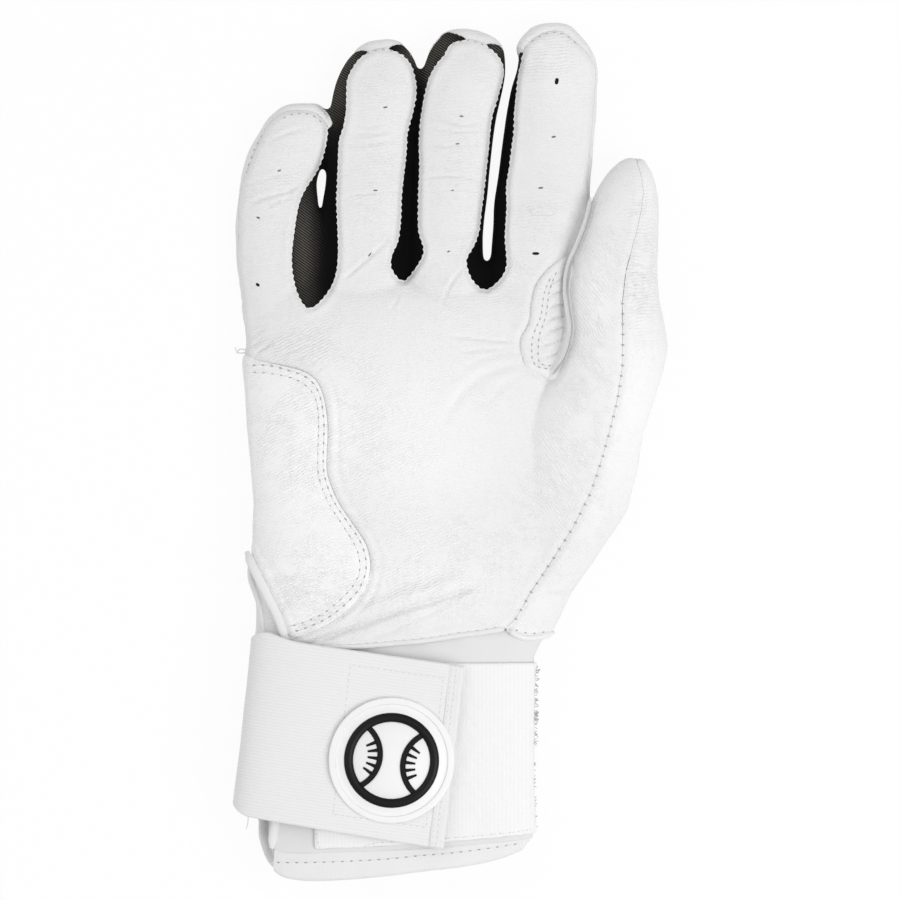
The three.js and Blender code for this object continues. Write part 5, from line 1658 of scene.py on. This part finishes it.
def leather(name, low, high, roughness, grain, grainDepth, foldDepth):
    material, tree, shader = startFinish(name, roughness, 0.05, 0.4)
    place = addNode(tree, "TexCoord").outputs["Object"]
    wander = addNode(tree, "TexNoise", {"Vector": place, "Scale": 330.0, "Detail": 2.0})
    bent = addNode(tree, "VectorMath", {0: wander.outputs["Color"], 1: (0.0017, 0.0017, 0.0017)},
                   operation="MULTIPLY")
    bent = addNode(tree, "VectorMath", {0: place, 1: bent.outputs[0]}, operation="ADD").outputs[0]
    drawnOut = addNode(tree, "Mapping", {"Vector": bent, "Rotation": (0, 0, -0.3), "Scale": (0.62, 1.2, 1)})
    cells = addNode(tree, "TexVoronoi", {"Vector": drawnOut.outputs[0], "Scale": 1000 / grain},
                    feature="DISTANCE_TO_EDGE")
    cellHeight = addNode(tree, "MapRange", {"Value": cells.outputs["Distance"], "From Max": 0.16})
    patches = addNode(tree, "TexNoise", {"Vector": place, "Scale": 75.0, "Detail": 3.0})
    depth = addNode(tree, "MapRange", {"Value": patches.outputs["Fac"], "From Min": 0.35, "From Max": 0.7,
                                       "To Min": grainDepth * 0.4, "To Max": grainDepth * 1.5})
    height = addNode(tree, "Math", {0: cellHeight.outputs[0], 1: depth.outputs[0]}, operation="MULTIPLY")
    pores = addNode(tree, "TexNoise", {"Vector": place, "Scale": 2400.0, "Detail": 3.0, "Roughness": 0.6})
    height = addNode(tree, "Math", {0: pores.outputs["Fac"], 1: grainDepth * 0.9, 2: height.outputs[0]},
                     operation="MULTIPLY_ADD")
    breaks = addNode(tree, "TexNoise", {"Vector": place, "Scale": 150.0, "Detail": 2.0})
    broken = addNode(tree, "MapRange", {"Value": breaks.outputs["Fac"], "From Min": 0.25, "From Max": 0.5})
    for key, (turn, spacing) in wrinkles.items():
        aligned = addNode(tree, "Mapping", {"Vector": bent, "Rotation": (0, 0, -math.radians(turn))})
        # a Wave texture repeats every 0.314 divided by its scale
        lines = addNode(tree, "TexWave", {"Vector": aligned.outputs[0], "Scale": 314.16 / spacing,
                                          "Distortion": 7.0, "Detail": 1.5, "Detail Scale": 0.35,
                                          "Detail Roughness": 0.6}, bands_direction="Y")
        crest = addNode(tree, "Math", {0: lines.outputs["Fac"], 1: broken.outputs[0]}, operation="MULTIPLY")
        where = addNode(tree, "Attribute", attribute_name=key)
        strength = addNode(tree, "Math", {0: where.outputs["Fac"], 1: foldDepth}, operation="MULTIPLY")
        height = addNode(tree, "Math", {0: crest.outputs[0], 1: strength.outputs[0], 2: height.outputs[0]},
                         operation="MULTIPLY_ADD")
    share = addNode(tree, "Math", {0: cellHeight.outputs[0], 1: 0.2, 2: 0.05}, operation="MULTIPLY_ADD")
    share = addNode(tree, "Math", {0: patches.outputs["Fac"], 1: 0.3, 2: share.outputs[0]},
                    operation="MULTIPLY_ADD")
    # painted light: the leather is whiter where this attribute is high
    tautAndLit = addNode(tree, "Attribute", attribute_name="tautAndLit")
    share = addNode(tree, "Math", {0: tautAndLit.outputs["Fac"], 1: 0.62, 2: share.outputs[0]},
                    operation="MULTIPLY_ADD", use_clamp=True)
    tintAndRelief(tree, shader, share.outputs[0], low, high, height.outputs[0])
    return material


def ribbed(name, low, high, roughness, pitch, turn, depth, sheen=0.1, grain=0.3, fuzz=0.03,
           coordinate="Object", openedAndLit=None, specular=0.3):
    # fabric with one set of ribs; pitch of the ribs and of the yarn in millimetres
    material, tree, shader = startFinish(name, roughness, sheen, specular)
    if coordinate == "Object":
        place = addNode(tree, "TexCoord").outputs["Object"]
    else:
        place = addNode(tree, "UVMap", uv_map=coordinate).outputs["UV"]
    turned = addNode(tree, "Mapping", {"Vector": place, "Rotation": (0, 0, -math.radians(turn))}).outputs[0]
    # a Wave texture repeats every 0.314 divided by its scale
    ribs = addNode(tree, "TexWave", {"Vector": turned, "Scale": 314.16 / pitch, "Distortion": 0.35,
                                     "Detail": 1.0, "Detail Scale": 2.0}, bands_direction="Y")
    yarn = addNode(tree, "TexWave", {"Vector": turned, "Scale": 314.16 / (pitch * 0.62), "Distortion": 0.6,
                                     "Detail": 1.0}, bands_direction="X")
    hair = addNode(tree, "TexNoise", {"Vector": place, "Scale": 1000 / grain, "Detail": 3.0,
                                      "Roughness": 0.65})
    height = addNode(tree, "Math", {0: ribs.outputs["Fac"], 1: depth}, operation="MULTIPLY")
    height = addNode(tree, "Math", {0: yarn.outputs["Fac"], 1: depth * 0.45, 2: height.outputs[0]},
                     operation="MULTIPLY_ADD")
    height = addNode(tree, "Math", {0: hair.outputs["Fac"], 1: fuzz, 2: height.outputs[0]},
                     operation="MULTIPLY_ADD")
    share = addNode(tree, "Math", {0: ribs.outputs["Fac"], 1: hair.outputs["Fac"]}, operation="MULTIPLY")
    share = addNode(tree, "Math", {0: share.outputs[0], 1: 1.9}, operation="MULTIPLY")
    # with this attribute the lighter rib colour shows only where the knit is marked lit and stretched:
    # painted light
    if openedAndLit:
        where = addNode(tree, "Attribute", attribute_name=openedAndLit)
        share = addNode(tree, "Math", {0: share.outputs[0], 1: where.outputs["Fac"]}, operation="MULTIPLY")
    tintAndRelief(tree, shader, share.outputs[0], low, high, height.outputs[0])
    return material


def smoothMoulding(name, low, high, roughness, depth, specular=0.5, grain=0.35):
    material, tree, shader = startFinish(name, roughness, 0.0, specular)
    place = addNode(tree, "TexCoord").outputs["Object"]
    skinNoise = addNode(tree, "TexNoise", {"Vector": place, "Scale": 1000 / grain, "Detail": 3.0})
    cloud = addNode(tree, "TexNoise", {"Vector": place, "Scale": 130.0, "Detail": 2.0})
    height = addNode(tree, "Math", {0: skinNoise.outputs["Fac"], 1: depth}, operation="MULTIPLY")
    tintAndRelief(tree, shader, cloud.outputs["Fac"], low, high, height.outputs[0])
    return material


print("finishes")
# tanned sheepskin, dyed through: satin, with a small pebbled grain and soft wrinkles where the hand bends
whiteSheepskin = leather("tanned_white_sheepskin", "#e4e4e4", "#f7f7f7", 0.52, 0.75, 0.038, 0.105)
# the same hide pressed smooth for the side of the thumb: whiter, with a fainter grain
smoothSheepskin = leather("pressed_white_sheepskin", "#e7e7e7", "#f8f8f8", 0.48, 0.7, 0.024, 0.12)
# heavier hide of the heel patch: deeper grain
patchSheepskin = leather("heavy_white_sheepskin", "#f2f2f2", "#fcfcfc", 0.55, 0.8, 0.055, 0.11)
# black polyester stretch knit: matt, with fine ribs whose crests are painted lighter, a painted highlight,
# where the knit is marked lit and stretched, drawn as coarse as they show
blackKnit = ribbed("black_rib_knit", "#040404", "#5c5954", 0.85, 0.7, -35, 0.12, 0.0, 0.4, 0.04,
                   openedAndLit="litAndStretched", specular=0.12)
whiteKnit = ribbed("white_stretch_knit", "#d6d6d6", "#f4f4f4", 0.9, 0.8, 90, 0.08, 0.2)
# fabric laminated on foam: fine and flat, a little darker than the leather
cuffFabric = ribbed("laminated_cuff_fabric", "#e2e2e2", "#e5e5e5", 0.85, 0.5, 90, 0.01, 0.15, 0.4, 0.03)
foldedTape = ribbed("folded_stretch_tape", "#e8e8e8", "#ededed", 0.8, 0.6, 90, 0.018, 0.15)
# brushed nylon loops: the softest and whitest of the fabrics
loopPile = ribbed("brushed_nylon_loops", "#f2f2f2", "#f5f5f5", 0.95, 1.22, 90, 0.008, 0.35, 0.55, 0.16)
# woven polyester and rubber elastic: its ribs are modelled, the yarn across them is drawn
wovenElastic = ribbed("woven_elastic", "#eaeaea", "#efefef", 0.8, 0.95, 0, 0.014, 0.15, 0.6, 0.15, "weave")
hookNylon = smoothMoulding("moulded_hook_nylon", "#e4e4e4", "#f0f0f0", 0.4, 0.01)
whiteRubber = smoothMoulding("moulded_white_rubber", "#f0f0f0", "#f7f7f7", 0.42, 0.012)
blackRubber = smoothMoulding("moulded_black_rubber", "#030303", "#0a0a0a", 0.42, 0.012, 0.25)
whiteThread = ribbed("white_polyester_thread", "#e0e0e0", "#f4f4f4", 0.6, 0.35, 30, 0.02)
# the hole that a needle leaves beside each stitch lies in shade
needleHole = smoothMoulding("shaded_needle_hole", "#a0a0a0", "#bababa", 0.9, 0.02, 0.1)
# painted shade: the pale grey of the needle holes in the elastic and the loop panel stands in for the shade
# in them
paleHoleShade = smoothMoulding("needle_hole_in_elastic_painted_shade", "#cecece", "#dadada", 0.9, 0.02, 0.1)
pileInShade = smoothMoulding("frayed_pile_in_shade", "#9a9a9a", "#d0d0d0", 0.9, 0.02, 0.1)
# painted shade: the grey-brown of each small breathing slit stands in for the shade inside it
slitShade = smoothMoulding("slit_in_hide_painted_shade", "#5e5a54", "#8a857e", 0.9, 0.02, 0.1)
# painted shade: a thin grey line along the raised edge of the heel patch stands in for the shade beside it
patchEdgeShade = smoothMoulding("patch_edge_painted_shade", "#b4b4b4", "#cacaca", 0.9, 0.03, 0.1)
# painted shade: the grey of the thumb seam stitches and of the cord laid in the cleft beside the thumb
seamShade = smoothMoulding("shaded_seam_thread", "#a8a8a8", "#bebebe", 0.8, 0.02, 0.1)
# painted shade: the dark inside of each punched breathing hole is a near-black disc on the leather
punchedHoleShade = smoothMoulding("punched_hole_painted_shade", "#14120e", "#2c2a24", 0.9, 0.02, 0.1)

looks = {
    "white_leather": [(whiteSheepskin, ["palm_leather", "back_leather", "thumb_fork_leather",
                                        "palm_hem_roll", "thumb_welt"]),
                      (smoothSheepskin, ["thumb_side_leather", "side_hem_roll"]),
                      (patchSheepskin, ["heel_patch_leather"]),
                      (whiteThread, ["glove_stitches", "loose_threads"]),
                      (needleHole, ["glove_needle_holes"]),
                      (seamShade, ["thumb_seam_stitches", "thumb_seam_shade_cord"]),
                      (patchEdgeShade, ["heel_patch_shaded_edge"]), (punchedHoleShade, ["breathing_holes"]),
                      (slitShade, ["breathing_slits"])],
    "black_knit": [(blackKnit, ["knit_little_ring", "knit_ring_middle", "knit_middle_index"])],
    "white_knit": [(whiteKnit, ["knuckle_stretch_knit", "cuff_gusset_knit"])],
    "cuff_fabric": [(cuffFabric, ["cuff_palm_fabric", "cuff_back_fabric"])],
    "folded_tape": [(foldedTape, ["opening_binding_tape", "cuff_hem_tape"])],
    "loop_tape": [(loopPile, ["loop_pile_panel"]), (pileInShade, ["loop_edge_fuzz"]),
                  (paleHoleShade, ["loop_panel_needle_holes"])],
    "strap_elastic": [(wovenElastic, ["elastic_wrist_strap"]), (foldedTape, ["strap_end_fold"]),
                      (whiteThread, ["strap_stitches"]), (paleHoleShade, ["strap_needle_holes"])],
    "hook_tape": [(hookNylon, ["hook_tape", "moulded_hooks"])],
    "white_rubber": [(whiteRubber, ["badge_rubber_plate"])],
    "black_rubber": [(blackRubber, ["badge_ball_ring", "badge_ball_seam_left", "badge_ball_seam_right"])],
}
for slot, finishes in looks.items():
    for material, names in finishes:
        for name in names:
            piece = bpy.data.objects[name]
            piece.data.materials.clear()
            piece.data.materials.append(material)

# Floor, light and camera
print("stage")
bpy.ops.object.select_all(action="DESELECT")
bpy.ops.mesh.primitive_plane_add(size=3.0, location=(0, 0, 0))
floor = bpy.context.object
floor.name = "floor"
paper, tree, shader = startFinish("matt_white_paper", 0.9)
shader.inputs["Base Color"].default_value = linear("#f7f7f7")
rays = addNode(tree, "LightPath")
seen = addNode(tree, "Math", {0: rays.outputs["Is Camera Ray"], 1: rays.outputs["Is Glossy Ray"]},
               operation="MAXIMUM")
seen = addNode(tree, "Math", {0: seen.outputs[0], 1: rays.outputs["Is Transmission Ray"]},
               operation="MAXIMUM")
share = addNode(tree, "Math", {0: seen.outputs[0], 1: 0.93}, operation="MULTIPLY")
glow = addNode(tree, "Emission", {"Color": (1, 1, 1, 1), "Strength": 1.0})
blend = addNode(tree, "MixShader", {0: share.outputs[0], 1: shader.outputs[0], 2: glow.outputs[0]})
tree.links.new(blend.outputs[0], tree.nodes["Material Output"].inputs["Surface"])
floor.data.materials.append(paper)

stage = {
    "cameraHeight": 1.6,
    "frameWidth": 0.2745,       # metres that the photo's frame covers at the glove
    "glovePlane": 0.011,
    "sky": 0.57,
    "lamps": [((0.62, -0.3, 0.95), 0.8, 6.4), ((-0.75, 0.3, 1.0), 1.2, 3.0)],   # place, size, watts
}
camera = bpy.data.cameras.new("camera")
camera.sensor_width = 36
camera.lens = camera.sensor_width * (stage["cameraHeight"] - stage["glovePlane"]) / stage["frameWidth"]
cameraObject = bpy.data.objects.new("camera", camera)
cameraObject.location = (0, 0, stage["cameraHeight"])
bpy.context.collection.objects.link(cameraObject)
bpy.context.scene.camera = cameraObject
for place, size, watts in stage["lamps"]:
    lamp = bpy.data.lights.new("softbox", "AREA")
    lamp.size = size
    lamp.energy = watts
    lampObject = bpy.data.objects.new("softbox", lamp)
    lampObject.location = place
    lampObject.rotation_euler = Vector(place).to_track_quat("Z", "Y").to_euler()
    bpy.context.collection.objects.link(lampObject)
world = bpy.data.worlds.new("studio")
world.use_nodes = True
tree = world.node_tree
sky = tree.nodes["Background"]
sky.inputs["Color"].default_value = (1, 1, 1, 1)
sky.inputs["Strength"].default_value = stage["sky"]
rays = addNode(tree, "LightPath")
white = addNode(tree, "Background", {"Color": (1, 1, 1, 1), "Strength": 1.0})
blend = addNode(tree, "MixShader", {0: rays.outputs["Is Camera Ray"], 1: sky.outputs[0],
                                    2: white.outputs[0]})
tree.links.new(blend.outputs[0], tree.nodes["World Output"].inputs["Surface"])
bpy.context.scene.world = world
bpy.context.scene.view_settings.view_transform = "Standard"
